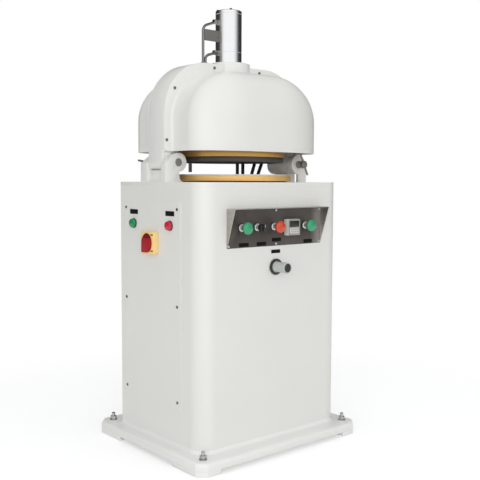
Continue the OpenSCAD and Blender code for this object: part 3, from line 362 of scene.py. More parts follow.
def lathe(name, profile, place=(0, 0, 0), axis=(0, 0, 1), sides=48):
    """A turned piece: a disc drawn out and stepped along its axis through (radius, height) pairs."""
    clear_bench()
    radius, height = profile[0]
    bpy.ops.mesh.primitive_circle_add(vertices=sides, radius=radius, fill_type="NGON")
    piece = bpy.context.object
    piece.name = name
    bpy.ops.object.mode_set(mode="EDIT")
    bpy.ops.mesh.select_all(action="SELECT")
    bpy.ops.transform.translate(value=(0, 0, height))
    for r, h in profile[1:]:
        bpy.ops.mesh.extrude_region_move(TRANSFORM_OT_translate={"value": (0, 0, h - height)})
        bpy.ops.transform.resize(value=(r / radius, r / radius, 1), center_override=(0, 0, 0))
        radius, height = r, h
    bpy.ops.mesh.select_all(action="SELECT")
    bpy.ops.mesh.remove_doubles(threshold=0.000002)
    bpy.ops.mesh.normals_make_consistent(inside=False)
    bpy.ops.object.mode_set(mode="OBJECT")
    piece.rotation_euler = Vector((0, 0, 1)).rotation_difference(Vector(axis)).to_euler()
    piece.location = place
    bpy.ops.object.transform_apply(location=True, rotation=True, scale=True)
    bpy.ops.object.shade_smooth_by_angle(angle=math.radians(32))
    return piece


zinc = finish("zinc_plate", (0.62, 0.61, 0.58), (0.48, 0.47, 0.45), 60, (0.28, 0.5), 700, 0.1, metallic=1.0)
stud = [(0.0048, 0.010), (0.006, 0.0115), (0.006, 0.0680), (0.0046, 0.069)]
washer = [(0.0126, 0.043), (0.013, 0.0434), (0.013, 0.0456), (0.0126, 0.046)]
nut = [(0.0104, 0.046), (0.011, 0.0468), (0.011, 0.0562), (0.0104, 0.057)]
bolt_x, bolt_y = 0.316, 0.265
bolts = []
for sx in (-1, 1):
    for sy in (-1, 1):
        place = (sx * bolt_x, sy * bolt_y, 0)
        bolts += [lathe("stud", stud, place), lathe("washer", washer, place)]
        bolts.append(lathe("nut", nut, place, sides=6))
bolts = join("levelling_bolts_dressed", bolts)
coat(bolts, zinc)
fit(bolts, "frame", "steel", "levelling_bolts")

# The cabinet: folded sheet steel, spot-welded inside and enamelled all over.
# The side and rear panels are plain sheets screwed on over the openings.
for name in ("body_shell", "left_side_panel", "rear_panel"):
    coat(nodes[name], enamel)

# The deck: a cast plate that closes the cabinet, with two lugs for the hinge pin on the left
# and a hub and saddle for the lock on the right, all with softened foundry edges.


def softened(node, name, width, steps=3, angle=38):
    """A merged copy of a solid with its sharp edges rounded off."""
    copy = bpy.data.objects.new(name, nodes[node].data.copy())
    bpy.context.scene.collection.objects.link(copy)
    hold(copy)
    bpy.ops.object.mode_set(mode="EDIT")
    bpy.ops.mesh.select_all(action="SELECT")
    bpy.ops.mesh.customdata_custom_splitnormals_clear()
    bpy.ops.mesh.remove_doubles(threshold=0.00001)
    bpy.ops.mesh.dissolve_limited(angle_limit=math.radians(0.8))
    bpy.ops.object.mode_set(mode="OBJECT")
    break_edges(copy, width, steps, angle)
    return copy


deck = softened("top_deck", "deck_casting", 0.0022)
coat(deck, enamel)
fit(deck, "frame", "paint", "top_deck")

# The web between the hinge lugs: grey iron, cast with the deck and enamelled with it.
# It is hollowed to clear the yoke's foot as the head swings over.
pin_at, toe_reach, swing = (-0.258, 0.964), 0.018, 38
web = bench_block("lug_web", (-0.300, -0.0338, 0.8995), (-0.256, 0.0452, 0.9450))
hollows = [(0.0355, *pin_at)]
for k in range(4):
    turn = math.radians(swing * k / 3)
    hollows.append((0.0315, pin_at[0] - toe_reach * math.cos(turn), pin_at[1] - toe_reach * math.sin(turn)))
for r, x, z in hollows:
    cutter = lathe("cutter", [(r, -0.06), (r, 0.07)], (x, 0, z), (0, 1, 0), sides=96)
    hold(web)
    hollow = web.modifiers.new("hollow", "BOOLEAN")
    hollow.operation = "DIFFERENCE"
    hollow.object = cutter
    bpy.ops.object.modifier_apply(modifier="hollow")
    bpy.data.objects.remove(cutter)
break_edges(web, 0.0006)
coat(web, enamel)
fit(web, "frame", "paint")

# Panel screws: domed steel heads with a hexagon socket, on the side, the rear and the hood.
# Those in the enamelled panels are blackened, and those in the hood are left bright.
screw_dark = finish("screw_steel", (0.26, 0.25, 0.24), (0.16, 0.155, 0.15), 90, (0.2, 0.4), 900, 0.05, 1.0)
screw_bright = finish(
    "hood_screw_steel", (0.80, 0.79, 0.77), (0.70, 0.69, 0.67), 90, (0.2, 0.4), 900, 0.05, 1.0
)


def domed_head(name, place, axis, r, h):
    """A domed screw head of radius r and height h with a socket in its top."""
    wall = [(r, 0), (r, h * 0.45), (r * 0.86, h * 0.8), (r * 0.5, h)]
    wall += [(r * 0.46, h * 0.98), (r * 0.44, h * 0.3)]
    return lathe(name, wall, place, axis, sides=20)


panel_x, rear_y, plate_y = -0.313, 0.214, -0.2495
screw_rows, panel_head, hood_head = (0.190, 0.5015, 0.813), 0.005, 0.004
places = [((panel_x, y, z), (-1, 0, 0), panel_head) for y in (-0.126, 0.173) for z in screw_rows]
places += [((x, rear_y, z), (0, 1, 0), panel_head) for x in (-0.254, 0.254) for z in screw_rows]
places += [((x, plate_y, z), (0, -1, 0), hood_head) for x in (-0.203, 0.0, 0.203) for z in (0.698, 0.8085)]
heads = []
for place, axis, r in places:
    head = domed_head("panel_screw", place, axis, r, 0.0024)
    coat(head, screw_bright if r == hood_head else screw_dark)
    heads.append(head)
heads = join("panel_screw_heads", heads)
fit(heads, "frame", "chrome", "panel_screws")

# The control hood: one folded piece of brushed stainless sheet.
# Its back plate carries the controls, and a roof and two cheeks keep flour off them.
hood_light = finish(
    "hood_brushed_stainless", (0.56, 0.54, 0.50), (0.44, 0.42, 0.39), 4, (0.24, 0.42), 60, 0.04, 1.0,
    (1, 1, 30)
)
# The back plate's dark, mottled colour is painted reflection and shade on the stainless sheet.
hood_painted_reflection = finish(
    "hood_plate_painted_reflection", (0.105, 0.090, 0.078), (0.036, 0.031, 0.028), 14, (0.35, 0.55), 60, 0.04, 0.2,
    (1, 1, 0.6)
)
tree = hood_painted_reflection.node_tree
skin = tree.nodes["Principled BSDF"].inputs["Base Color"]
shaded = skin.links[0].from_socket
# Towards the right bend the plate is painted lighter, as painted reflection of the cheek.
bend_painted_reflection = tree.nodes.new("ShaderNodeMix")
bend_painted_reflection.data_type = "RGBA"
bend_painted_reflection.inputs[7].default_value = (0.27, 0.25, 0.235, 1)
spot = tree.nodes.new("ShaderNodeTexCoord")
along = tree.nodes.new("ShaderNodeSeparateXYZ")
near_bend = ramp(tree, 0.155, 0.206, 0, 0.9)
tree.links.new(spot.outputs["Object"], along.inputs[0])
tree.links.new(along.outputs["X"], near_bend.inputs["Value"])
tree.links.new(near_bend.outputs["Result"], bend_painted_reflection.inputs[0])
tree.links.new(shaded, bend_painted_reflection.inputs[6])
tree.links.new(bend_painted_reflection.outputs[2], skin)
hood = softened("control_hood", "hood_sheet", 0.0004, 2)
coat(hood, hood_light, hood_painted_reflection)
for face in hood.data.polygons:
    if face.normal.y < -0.9 and plate_y - 0.0002 < face.center.y < plate_y + 0.0005:
        face.material_index = 1
fit(hood, "frame", "stainless", "control_hood")

# Button collars: chromed threaded necks on black rubber gaskets.
# Each is turned from bar and clamps its control to the hood's plate.
chrome = finish("collar_chrome", (0.84, 0.83, 0.81), (0.74, 0.73, 0.71), 30, (0.18, 0.32), 300, 0.02, 1.0)
stem_black = finish("stem_black", (0.02, 0.02, 0.02), (0.035, 0.034, 0.033), 60, (0.35, 0.5), 400, 0.04)
start_xs, select_x, stop_x, control_z = (-0.151, 0.132), -0.085, -0.011, 0.755
neck_r, neck_end = 0.0095, 0.0200
gasket = [(0.0146, 0), (0.015, 0.0003), (0.015, 0.0012), (0.0146, 0.0015)]
ring = [(0.0118, 0.0015), (0.0122, 0.0019), (0.0122, 0.0042), (0.0118, 0.0046), (neck_r, 0.0046)]
ring += [(neck_r, 0.0115), (0.0088, 0.0120), (0.0088, 0.0128), (neck_r, 0.0133), (neck_r, 0.0195)]
ring += [(0.0091, neck_end), (0.0064, neck_end), (0.0063, 0.0120)]
collars = []
for x in (start_xs[0], select_x, stop_x, start_xs[1]):
    for name, profile, mat in (("gasket", gasket, stem_black), ("collar", ring, chrome)):
        piece = lathe(name, profile, (x, plate_y, control_z), (0, -1, 0))
        coat(piece, mat)
        collars.append(piece)
collars = join("chromed_collars", collars)
fit(collars, "frame", "chrome", "button_collars")

# Mushroom buttons: glossy moulded heads, two green to start and one red to stop.
# A hollow skirt under each head slides over the chromed neck, round a thin dark stem.


def gloss(name, colour, patch):
    """A finish for shiny moulded plastic."""
    mat = finish(name, colour, patch, 40, (0.18, 0.3), 500, 0.02)
    mat.node_tree.nodes["Principled BSDF"].inputs["Coat Weight"].default_value = 0.3
    return mat


green_gloss = gloss("start_green", (0.035, 0.36, 0.165), (0.028, 0.31, 0.14))
red_gloss = gloss("stop_red", (0.66, 0.075, 0.028), (0.57, 0.06, 0.022))
stem_r, skirt_roof = 0.006, 0.0262
mushroom = [(stem_r, -0.012), (stem_r, skirt_roof), (0.0099, skirt_roof), (0.0099, 0.0202)]
mushroom += [(0.0106, neck_end)]
mushroom += [(0.0118, 0.0222), (0.0150, 0.0262), (0.0180, 0.0282), (0.0192, 0.0294), (0.02, 0.0315)]
mushroom += [(0.02, 0.0335), (0.0192, 0.0362), (0.0172, 0.0386), (0.0138, 0.0404), (0.009, 0.0414)]
mushroom += [(0.004, 0.0418), (0.001, 0.042)]
for name, x, mat, slot, body in (
    ("start_button_left", start_xs[0], green_gloss, "green_plastic", "start_left"),
    ("start_button_right", start_xs[1], green_gloss, "green_plastic", "start_right"),
    ("stop_button", stop_x, red_gloss, "red_plastic", "stop"),
):
    button = lathe(name + "_mushroom", mushroom, (x, plate_y, control_z), (0, -1, 0))
    coat(button, mat, stem_black)
    for face in button.data.polygons:
        from_axis = math.hypot(face.center.x - x, face.center.z - control_z)
        if from_axis < stem_r + 0.0001 and face.center.y > plate_y - skirt_roof:
            face.material_index = 1
    fit(button, body, slot, name)

# The selector: a black moulded knob with a raised grip and a white pointer line.
# It turns on a thin stem that runs through its chromed neck.
knob_black = finish("selector_black", (0.016, 0.016, 0.017), (0.03, 0.03, 0.03), 60, (0.25, 0.42), 500, 0.04)
pointer_white = finish("pointer_white", (0.75, 0.75, 0.73), (0.66, 0.66, 0.64), 60, (0.4, 0.5), 500, 0.02)
knob_face, grip_face = plate_y - 0.0340, plate_y - 0.0415
disc = [(stem_r, -0.012), (stem_r, 0.0203), (0.0118, 0.0205), (0.0125, 0.0212), (0.0125, 0.0330)]
disc += [(0.0117, 0.0340)]
selector = lathe("selector_body", disc, (select_x, plate_y, control_z), (0, -1, 0))
grip = bench_block("selector_grip", (select_x - 0.004, grip_face, control_z - 0.0120),
                   (select_x + 0.004, knob_face + 0.0010, control_z + 0.0120))
pick(grip, "EDGE", lambda e: all(v.co.y < grip_face + 0.0001 for v in e.verts))
bpy.ops.mesh.bevel(offset=0.0022, segments=3)
break_edges(grip, 0.0006)
line = bench_block("selector_pointer", (select_x - 0.0008, grip_face - 0.0003, control_z + 0.0010),
                   (select_x + 0.0008, grip_face + 0.0001, control_z + 0.0092))
break_edges(line, 0.0001)
for piece, mat in ((selector, knob_black), (grip, knob_black), (line, pointer_white)):
    coat(piece, mat)
selector = join("selector_knob_moulded", [selector, grip, line])
fit(selector, "selector", "black_plastic", "selector_knob")

# The timer: a moulded case in two greys with a smoked display window and a sealed keypad.
# It sits flat on the hood's plate, beside the stop button.
case_pale = finish("timer_case_pale", (0.80, 0.79, 0.74), (0.74, 0.73, 0.68), 40, (0.35, 0.5), 500, 0.04)
case_grey = finish("timer_bezel_grey", (0.36, 0.35, 0.325), (0.30, 0.29, 0.27), 40, (0.35, 0.5), 500, 0.04)
window_black = finish("timer_window", (0.012, 0.014, 0.012), (0.02, 0.022, 0.02), 20, (0.3, 0.4), 200, 0.0)
keypad_pale = finish("timer_keypad", (0.66, 0.64, 0.59), (0.58, 0.56, 0.52), 40, (0.4, 0.55), 500, 0.05)
key_grey = finish("timer_keys", (0.44, 0.43, 0.41), (0.38, 0.37, 0.35), 40, (0.4, 0.55), 500, 0.05)
timer_front, case_x, case_z, inner_x = -0.2715, (0.0365, 0.0905), (0.724, 0.778), (0.0425, 0.0845)
case = bench_block("timer_case", (case_x[0], timer_front, case_z[0]), (case_x[1], plate_y, case_z[1]))
pick(case, "FACE", lambda f: f.normal.y < -0.9)
bpy.ops.mesh.inset(thickness=0.0035, depth=-0.0012)
break_edges(case, 0.0012)
coat(case, case_pale, case_grey)
for face in case.data.polygons:
    if face.normal.y < -0.9:
        face.material_index = 1
window = bench_block("timer_window", (inner_x[0], timer_front - 0.001, 0.7525),
                     (inner_x[1], timer_front + 0.0015, 0.772))
break_edges(window, 0.0006)
coat(window, window_black)
pad = bench_block("timer_keypad", (inner_x[0], timer_front - 0.0005, 0.730),
                  (inner_x[1], timer_front + 0.0015, 0.7495))
break_edges(pad, 0.0005)
coat(pad, keypad_pale)
keys = []
for x in (0.048, 0.057, 0.066, 0.075):
    for z in (0.7335, 0.7415):
        key = bench_block("timer_key", (x, timer_front - 0.001, z),
                          (x + 0.006, timer_front - 0.0003, z + 0.005))
        break_edges(key, 0.0003)
        coat(key, key_grey)
        keys.append(key)
timer = join("timer_unit", [case, window, pad, *keys])
fit(timer, "frame", "grey_plastic", "timer")

# Label plates: small black anodised strips with softened edges, left plain.
# They are glued on the hood, on the cabinet's front and over the lamps.
plate_black = finish("label_black", (0.004, 0.004, 0.004), (0.008, 0.008, 0.008), 80, (0.6, 0.75), 600, 0.03)
plate_black.node_tree.nodes["Principled BSDF"].inputs["Specular IOR Level"].default_value = 0.12
half_long, half_high, thick = 0.020, 0.006, 0.001
side_half, side_z, lamp_ys = 0.024, (0.791, 0.807), (0.124, -0.087)
strips = [((x - half_long, y - thick, z - half_high), (x + half_long, y, z + half_high)) for x, y, z in (
    (-0.140, plate_y, 0.700), (-0.065, plate_y, 0.700), (0.002, plate_y, 0.711), (0.148, plate_y, 0.700),
    (0.0, -0.248, 0.672),
)]
for y in lamp_ys:
    strips.append(((panel_x - thick, y - side_half, side_z[0]), (panel_x, y + side_half, side_z[1])))
plates = []
for low, high in strips:
    plate = bench_block("label", low, high)
    break_edges(plate, 0.0003)
    plates.append(plate)
plates = join("plain_label_plates", plates)
coat(plates, plate_black)
fit(plates, "frame", "black_plastic", "label_plates")

# Pilot lamps: glossy coloured caps, each in a slim black bezel.
# A plain shank passes through the side panel behind each one.
lamp_green = gloss("lamp_green_lens", (0.004, 0.30, 0.105), (0.003, 0.24, 0.08))
lamp_red = gloss("lamp_red_lens", (0.62, 0.012, 0.045), (0.52, 0.009, 0.035))
lamp_z, bezel = 0.760, 0.0038
lens = [(0.011, -0.032), (0.011, 0), (0.0165, 0.0001), (0.0165, 0.0028), (0.0160, 0.0036), (0.0150, bezel)]
lens += [(0.0148, 0.0102), (0.0136, 0.0125), (0.0106, 0.0136), (0.0055, 0.01395), (0.001, 0.014)]
for name, y, mat, slot in (
    ("lamp_green", lamp_ys[0], lamp_green, "green_plastic"),
    ("lamp_red", lamp_ys[1], lamp_red, "red_plastic"),
):
    lamp = lathe(name + "_lens", lens, (panel_x, y, lamp_z), (-1, 0, 0))
    coat(lamp, mat, stem_black)
    for face in lamp.data.polygons:
        if face.center.x > panel_x - bezel:
            face.material_index = 1
    fit(lamp, "frame", slot, name)

# The main switch: a square yellow housing on the panel with a flat red handle that can be padlocked.
# The handle is oval, with one square corner and a step down to a thinner top.
switch_yellow = finish("switch_yellow", (0.97, 0.68, 0.28), (0.93, 0.64, 0.25), 40, (0.35, 0.5), 500, 0.03)
switch_red = finish("switch_red", (0.42, 0.016, 0.026), (0.37, 0.013, 0.022), 40, (0.4, 0.5), 500, 0.02)
# The disc behind the grip and the stem take a darker copy of the red, as painted shade.
switch_red_painted_shade = finish(
    "switch_red_shaded", (0.19, 0.004, 0.006), (0.15, 0.003, 0.005), 40, (0.4, 0.5), 500, 0.02
)
for moulded in (switch_red, switch_red_painted_shade):
    moulded.node_tree.nodes["Principled BSDF"].inputs["Specular IOR Level"].default_value = 0.12
mark_black = finish("switch_mark", (0.03, 0.02, 0.01), (0.045, 0.035, 0.02), 60, (0.4, 0.5), 500, 0.02)
axis_y, axis_z, half, housing_x = 0.015, 0.700, 0.037, -0.333
housing = bench_block("switch_housing", (housing_x, axis_y - half, axis_z - half),
                      (panel_x, axis_y + half, axis_z + half))
pick(housing, "EDGE", lambda e: abs(e.verts[0].co.x - e.verts[1].co.x) > 0.002)
bpy.ops.mesh.bevel(offset=0.005, segments=4)
break_edges(housing, 0.0012)
coat(housing, switch_yellow)
marks = []
for z in (axis_z - 0.026, axis_z + 0.027):
    mark = bench_block("switch_tick", (housing_x - 0.0002, axis_y - half + 0.003, z - 0.002),
                       (housing_x + 0.0002, axis_y - half + 0.018, z + 0.002))
    break_edges(mark, 0.0001)
    coat(mark, mark_black)
    marks.append(mark)
housing = join("switch_housing_yellow", [housing, *marks])
fit(housing, "frame", "yellow_plastic", "switch_plate")
oval, knob_x, handle_r = 0.85, -0.3333, 0.032


def squeeze(piece):
    """Narrows a turned piece of the handle to an oval."""
    bpy.ops.object.mode_set(mode="EDIT")
    bpy.ops.mesh.select_all(action="SELECT")
    bpy.ops.transform.resize(value=(1, oval, 1), center_override=(0, axis_y, axis_z))


stem = lathe("switch_stem", [(0.0080, -0.0503), (0.0080, 0.0005)], (knob_x, axis_y, axis_z), (-1, 0, 0))
coat(stem, switch_red_painted_shade)
disc = [(0.0314, 0.0001), (handle_r, 0.0006), (handle_r, 0.0026), (0.0312, 0.0034)]
disc = lathe("switch_disc", disc, (knob_x, axis_y, axis_z), (-1, 0, 0), sides=72)
squeeze(disc)
break_edges(disc, 0.0003)
coat(disc, switch_red_painted_shade)
grip = [(0.0316, 0.0030), (0.0316, 0.0045), (0.0310, 0.0055), (0.0300, 0.0060)]
grip = lathe("switch_grip", grip, (knob_x, axis_y, axis_z), (-1, 0, 0), sides=72)
squeeze(grip)
bpy.ops.mesh.bisect(plane_co=(0, 0, axis_z + 0.016), plane_no=(0, 0, 1), use_fill=True, clear_outer=True)
break_edges(grip, 0.0005)
coat(grip, switch_red)
corner = bench_block("switch_corner", (knob_x - 0.0058, axis_y, axis_z - handle_r),
                     (knob_x - 0.0002, axis_y + handle_r * oval, axis_z))
break_edges(corner, 0.0012)
coat(corner, switch_red)
handle = join("switch_handle_moulded", [stem, disc, grip, corner])
fit(handle, "main_switch", "red_plastic", "switch_handle")

# The rounding adjuster: a waisted grey knob on a black skirt that sets the table's swing.
# Its flared end is lightly fluted for grip, and a black plug closes the bore in its face.
knob_grey = finish("adjuster_grey", (0.56, 0.57, 0.54), (0.49, 0.50, 0.47), 40, (0.3, 0.45), 500, 0.03)
knob_at, knob_axis = (0, -0.2483, 0.621), (0, -1, 0)
stem = [(0.006, -0.0303), (0.006, 0.0), (0.026, 0.0001), (0.027, 0.0008), (0.027, 0.0046), (0.0255, 0.0058)]
skirt = lathe("adjuster_skirt", stem, knob_at, knob_axis)
coat(skirt, knob_black)
flute_start, flute_end, face_out = 0.0480, 0.0572, 0.0590
grip = [(0.0188, 0.0056), (0.0172, 0.0100), (0.0166, 0.0300), (0.0168, 0.0420), (0.0178, flute_start)]
grip += [(0.0182, 0.0520), (0.0182, flute_end), (0.0172, face_out), (0.0148, face_out), (0.0145, 0.0580)]
grip = lathe("adjuster_grip", grip, knob_at, knob_axis, sides=72)
bpy.ops.object.mode_set(mode="EDIT")


def in_flute(v):
    """True for every third row of points round the flared end."""
    out = knob_at[1] - v.co.y
    around = round(math.degrees(math.atan2(v.co.z - knob_at[2], v.co.x)) / 5)
    return around % 3 == 0 and flute_start - 0.0001 < out < flute_end + 0.0001


pick(grip, "VERT", in_flute)
bpy.ops.transform.resize(value=(0.965, 1, 0.965), center_override=knob_at)
bpy.ops.object.mode_set(mode="OBJECT")
coat(grip, knob_grey)
plug = [(0.0145, 0.0560), (0.0145, 0.0580), (0.0138, 0.0586), (0.0105, 0.0588), (0.0098, 0.0582)]
plug += [(0.0062, 0.0582), (0.0056, 0.0587), (0.001, 0.0588)]
plug = lathe("adjuster_plug", plug, knob_at, knob_axis)
coat(plug, knob_black)
adjuster = join("adjuster_knob_moulded", [skirt, grip, plug])
fit(adjuster, "adjuster", "grey_plastic", "adjust_knob")

# Hinge pin and lock pin: ground steel bars, each with a thin cross bar to pull it by.
# The head swings on the left one, and the right one is pushed in to lock it down.
pin_steel = finish(
    "oiled_pin_steel", (0.42, 0.40, 0.375), (0.31, 0.295, 0.275), 60, (0.26, 0.44), 500, 0.06, 1.0, (6, 1, 6)
)
pin = [(0.0122, -0.0600), (0.0135, -0.0587), (0.0135, 0.1107), (0.0123, 0.112)]
hinge = lathe("hinge_bar", pin, (pin_at[0], 0, pin_at[1]), (0, 1, 0))
bar = [(0.0028, -0.052), (0.0035, -0.0513), (0.0035, 0.0513), (0.0028, 0.052)]
dip = math.radians(9)
along = (math.cos(dip), 0, -math.sin(dip))
cross = lathe("hinge_cross", bar, (pin_at[0], 0.101, pin_at[1]), along, sides=24)
hinge = join("hinge_pin_turned", [hinge, cross])
coat(hinge, pin_steel)
fit(hinge, "frame", "dark_steel", "hinge_pin")
pin = [(0.0121, -0.123), (0.0135, -0.1216), (0.0135, -0.0625), (0.0121, -0.061)]
lock = lathe("lock_bar", pin, (-pin_at[0], 0, pin_at[1]), (0, 1, 0))
lean = Matrix.Rotation(math.radians(-26), 3, "Y") @ Vector((0, 0, 1))
bar = [(0.0028, -0.042), (0.0035, -0.0413), (0.0035, 0.0413), (0.0028, 0.042)]
cross = lathe("lock_cross", bar, (-pin_at[0], -0.1185, pin_at[1]), lean, sides=24)
lock = join("lock_pin_turned", [lock, cross])
coat(lock, pin_steel)
fit(lock, "lock_pin", "dark_steel", "lock_pin")

# The yoke: a cast arch that carries the press, with round barrels at its feet.
# The right barrel is left as bare machined metal, and the rest is enamelled.
# The barrel's near-white colour is partly painted light, lifting it out of the shade under the head.
barrel_painted_light = finish(
    "barrel_metal_painted_light", (0.93, 0.925, 0.90), (0.87, 0.865, 0.84), 30, (0.32, 0.5), 300, 0.06, 0.2, (1, 8, 1)
)
barrel_in, barrel_top = 0.2, 0.9985
yoke = softened("yoke", "yoke_casting", 0.0025)
coat(yoke, enamel, barrel_painted_light)
for face in yoke.data.polygons:
    if face.center.x > barrel_in and face.center.z < barrel_top:
        face.material_index = 1
fit(yoke, "head", "paint", "yoke")

# The covers: deep-drawn domes on the front and back of the yoke, with a flat flange.
# They keep hands and flour out of the press, and the drawn root is softly rounded.


flange_y, flange_half, flange_top = 0.048, 0.306, 1.297
flange_arc_x, flange_arc_z, flange_arc_r = 0.131, 1.122, 0.175


def domed_cover(name, bulge, back):
    """Half a cover drawn out from an eighth of a sphere, mirrored, given its flange and thickened."""
    root_y, foot, crown, rise = -flange_y, 1.000, 1.105, 0.160
    side, corner, centre_x = 0.190, 0.100, 0.084
    root_round, foot_corner, sheet_thick = 0.011, 0.013, 0.003
    centre_y = root_y - bulge + corner
    clear_bench()
    bpy.ops.mesh.primitive_uv_sphere_add(segments=96, ring_count=48, radius=1)
    dome = bpy.context.object
    dome.name = name
    bpy.ops.object.mode_set(mode="EDIT")
    for normal in ((-1, 0, 0), (0, 1, 0), (0, 0, -1)):
        bpy.ops.mesh.select_all(action="SELECT")
        bpy.ops.mesh.bisect(plane_co=(0, 0, 0), plane_no=normal, clear_outer=True, threshold=0.0001)
    bpy.ops.mesh.select_all(action="SELECT")
    bpy.ops.transform.resize(value=(side, corner, rise), center_override=(0, 0, 0))
    bpy.ops.transform.translate(value=(centre_x, centre_y, crown))

    def near(a, b):
        return abs(a - b) < 0.00005

    for step in range(4):
        level = crown - (crown - foot) * step / 4
        pick(dome, "EDGE", lambda e: e.is_boundary and all(near(v.co.z, level) for v in e.verts))
        bpy.ops.mesh.extrude_region_move(TRANSFORM_OT_translate={"value": (0, 0, -(crown - foot) / 4)})
    for step in range(3):
        level = centre_y + (root_y - centre_y) * step / 3
        pick(dome, "EDGE", lambda e: e.is_boundary and all(near(v.co.y, level) for v in e.verts))
        bpy.ops.mesh.extrude_region_move(TRANSFORM_OT_translate={"value": (0, (root_y - centre_y) / 3, 0)})
    for step in range(3):
        level = centre_x * (1 - step / 3)
        pick(dome, "EDGE", lambda e: e.is_boundary and all(near(v.co.x, level) for v in e.verts))
        bpy.ops.mesh.extrude_region_move(TRANSFORM_OT_translate={"value": (-centre_x / 3, 0, 0)})
    pick(dome, "EDGE", lambda e: e.is_boundary and all(near(v.co.y, root_y) for v in e.verts))
    bpy.ops.mesh.extrude_region_move(TRANSFORM_OT_translate={"value": (0, 0, 0)})
    mesh = bmesh.from_edit_mesh(dome.data)
    for v in [v for v in mesh.verts if v.select]:
        if v.co.z <= crown + 0.00005:
            v.co.x = flange_half
        elif v.co.x <= centre_x + 0.00005:
            v.co.x, v.co.z = v.co.x * flange_arc_x / centre_x, flange_top
        else:
            round_by = math.atan2((v.co.z - crown) / rise, (v.co.x - centre_x) / side)
            v.co.x = flange_arc_x + flange_arc_r * math.cos(round_by)
            v.co.z = flange_arc_z + flange_arc_r * math.sin(round_by)
    bmesh.update_edit_mesh(dome.data)
    pick(dome, "VERT", lambda v: near(v.co.x, flange_half) and near(v.co.z, foot))
    bpy.ops.mesh.bevel(offset=foot_corner, segments=6, affect="VERTICES")
    bpy.ops.mesh.select_all(action="SELECT")
    bpy.ops.mesh.remove_doubles(threshold=0.00001)
    bpy.ops.object.mode_set(mode="OBJECT")
    twin = dome.modifiers.new("twin", "MIRROR")
    twin.use_clip = True
    twin.merge_threshold = 0.0001
    bpy.ops.object.modifier_apply(modifier="twin")
    bpy.ops.object.mode_set(mode="EDIT")
    bpy.ops.mesh.select_all(action="SELECT")
    bpy.ops.mesh.normals_make_consistent(inside=False)
    mesh = bmesh.from_edit_mesh(dome.data)
    mesh.normal_update()
    if max(mesh.faces, key=lambda f: -f.calc_center_median().y).normal.y > 0:
        bpy.ops.mesh.flip_normals()

    def at_root(e):
        if len(e.link_faces) != 2 or not all(near(v.co.y, root_y) for v in e.verts):
            return False
        return abs(abs(e.link_faces[0].normal.y) - abs(e.link_faces[1].normal.y)) > 0.6

    pick(dome, "EDGE", at_root)
    bpy.ops.mesh.bevel(offset=root_round, segments=8)
    bpy.ops.object.mode_set(mode="OBJECT")
    sheet = dome.modifiers.new("sheet", "SOLIDIFY")
    sheet.thickness = sheet_thick
    sheet.offset = -1
    sheet.use_even_offset = True
    bpy.ops.object.modifier_apply(modifier="sheet")
    if back:
        dome.rotation_euler = (0, 0, math.pi)
        bpy.ops.object.transform_apply(location=True, rotation=True, scale=True)
    break_edges(dome, 0.0010, 2, 50)
    return dome


front = domed_cover("front_dome", 0.178, False)
coat(front, enamel)
fit(front, "head", "paint", "front_cover")
rear = domed_cover("rear_dome", 0.190, True)
coat(rear, enamel)
fit(rear, "head", "paint", "rear_cover")

# Head screws: blackened steel socket screws with domed heads.
# They hold both covers to the yoke, and four more close the cylinder's top cap.
head_r, flange_head_h, cap_head_h = 0.005, 0.003, 0.005
cap_face_z, cap_ring_r, cap_first = 1.490, 0.038, 62
heads = []
for x, z in ((0.297, 1.036), (0.2649, 1.204), (0.101, 1.283)):
    for s in (-1, 1):
        heads.append(domed_head("flange_screw", (s * x, -flange_y, z), (0, -1, 0), head_r, flange_head_h))
        heads.append(domed_head("flange_screw", (s * x, flange_y, z), (0, 1, 0), head_r, flange_head_h))
for k in range(4):
    turn = math.radians(cap_first + 90 * k)
    place = (cap_ring_r * math.cos(turn), cap_ring_r * math.sin(turn), cap_face_z)
    heads.append(domed_head("cap_screw", place, (0, 0, 1), head_r, cap_head_h))
heads = join("head_screw_heads", heads)
coat(heads, screw_dark)
fit(heads, "head", "chrome", "head_screws")

# The press cylinder: a honed and polished steel tube between turned end caps.
# The lower cap has a wide dark seat that is bolted down in the yoke's collar.
tube_polish = finish(
    "polished_tube", (0.96, 0.96, 0.965), (0.92, 0.92, 0.925), 3, (0.20, 0.27), 40, 0.008, 1.0, (1, 1, 24)
)
cap_steel = finish(
    "cap_steel", (0.20, 0.19, 0.18), (0.13, 0.125, 0.12), 40, (0.25, 0.42), 300, 0.05, 1.0, (1, 1, 12)
)
tube_r, edge_r, seat_r, tube_low, tube_top, seat_top = 0.0455, 0.0449, 0.060, 1.347, 1.478, 1.308
tube = [(edge_r, tube_low), (tube_r, 1.3476), (tube_r, 1.4774), (edge_r, tube_top)]
tube = lathe("tube", tube, sides=96)
coat(tube, tube_polish)
fit(tube, "head", "chrome", "cylinder_tube")
cap_low = [(0.0592, 1.300), (seat_r, 1.3008), (seat_r, 1.3072), (0.0592, seat_top), (tube_r, seat_top)]
cap_low = lathe("cap_low", cap_low + [(tube_r, 1.3464), (edge_r, tube_low)], sides=96)
cap_top = [(edge_r, tube_top), (tube_r, 1.4786), (tube_r, 1.4888), (0.0443, cap_face_z)]
cap_top = lathe("cap_top", cap_top, sides=96)
caps = join("cylinder_end_caps", [cap_low, cap_top])
coat(caps, tube_polish, cap_steel)
for face in caps.data.polygons:
    if face.center.z < seat_top + 0.0001:
        face.material_index = 1
fit(caps, "head", "dark_steel", "cylinder_caps")

# Hydraulic pipes: bent steel tube from two ports on the cylinder down into the yoke.
# Each is screwed into a hexagon port above and passes through a turned socket below.
pipe_steel = finish("pipe_steel", (0.36, 0.35, 0.33), (0.26, 0.25, 0.24), 50, (0.22, 0.4), 500, 0.04, 1.0)


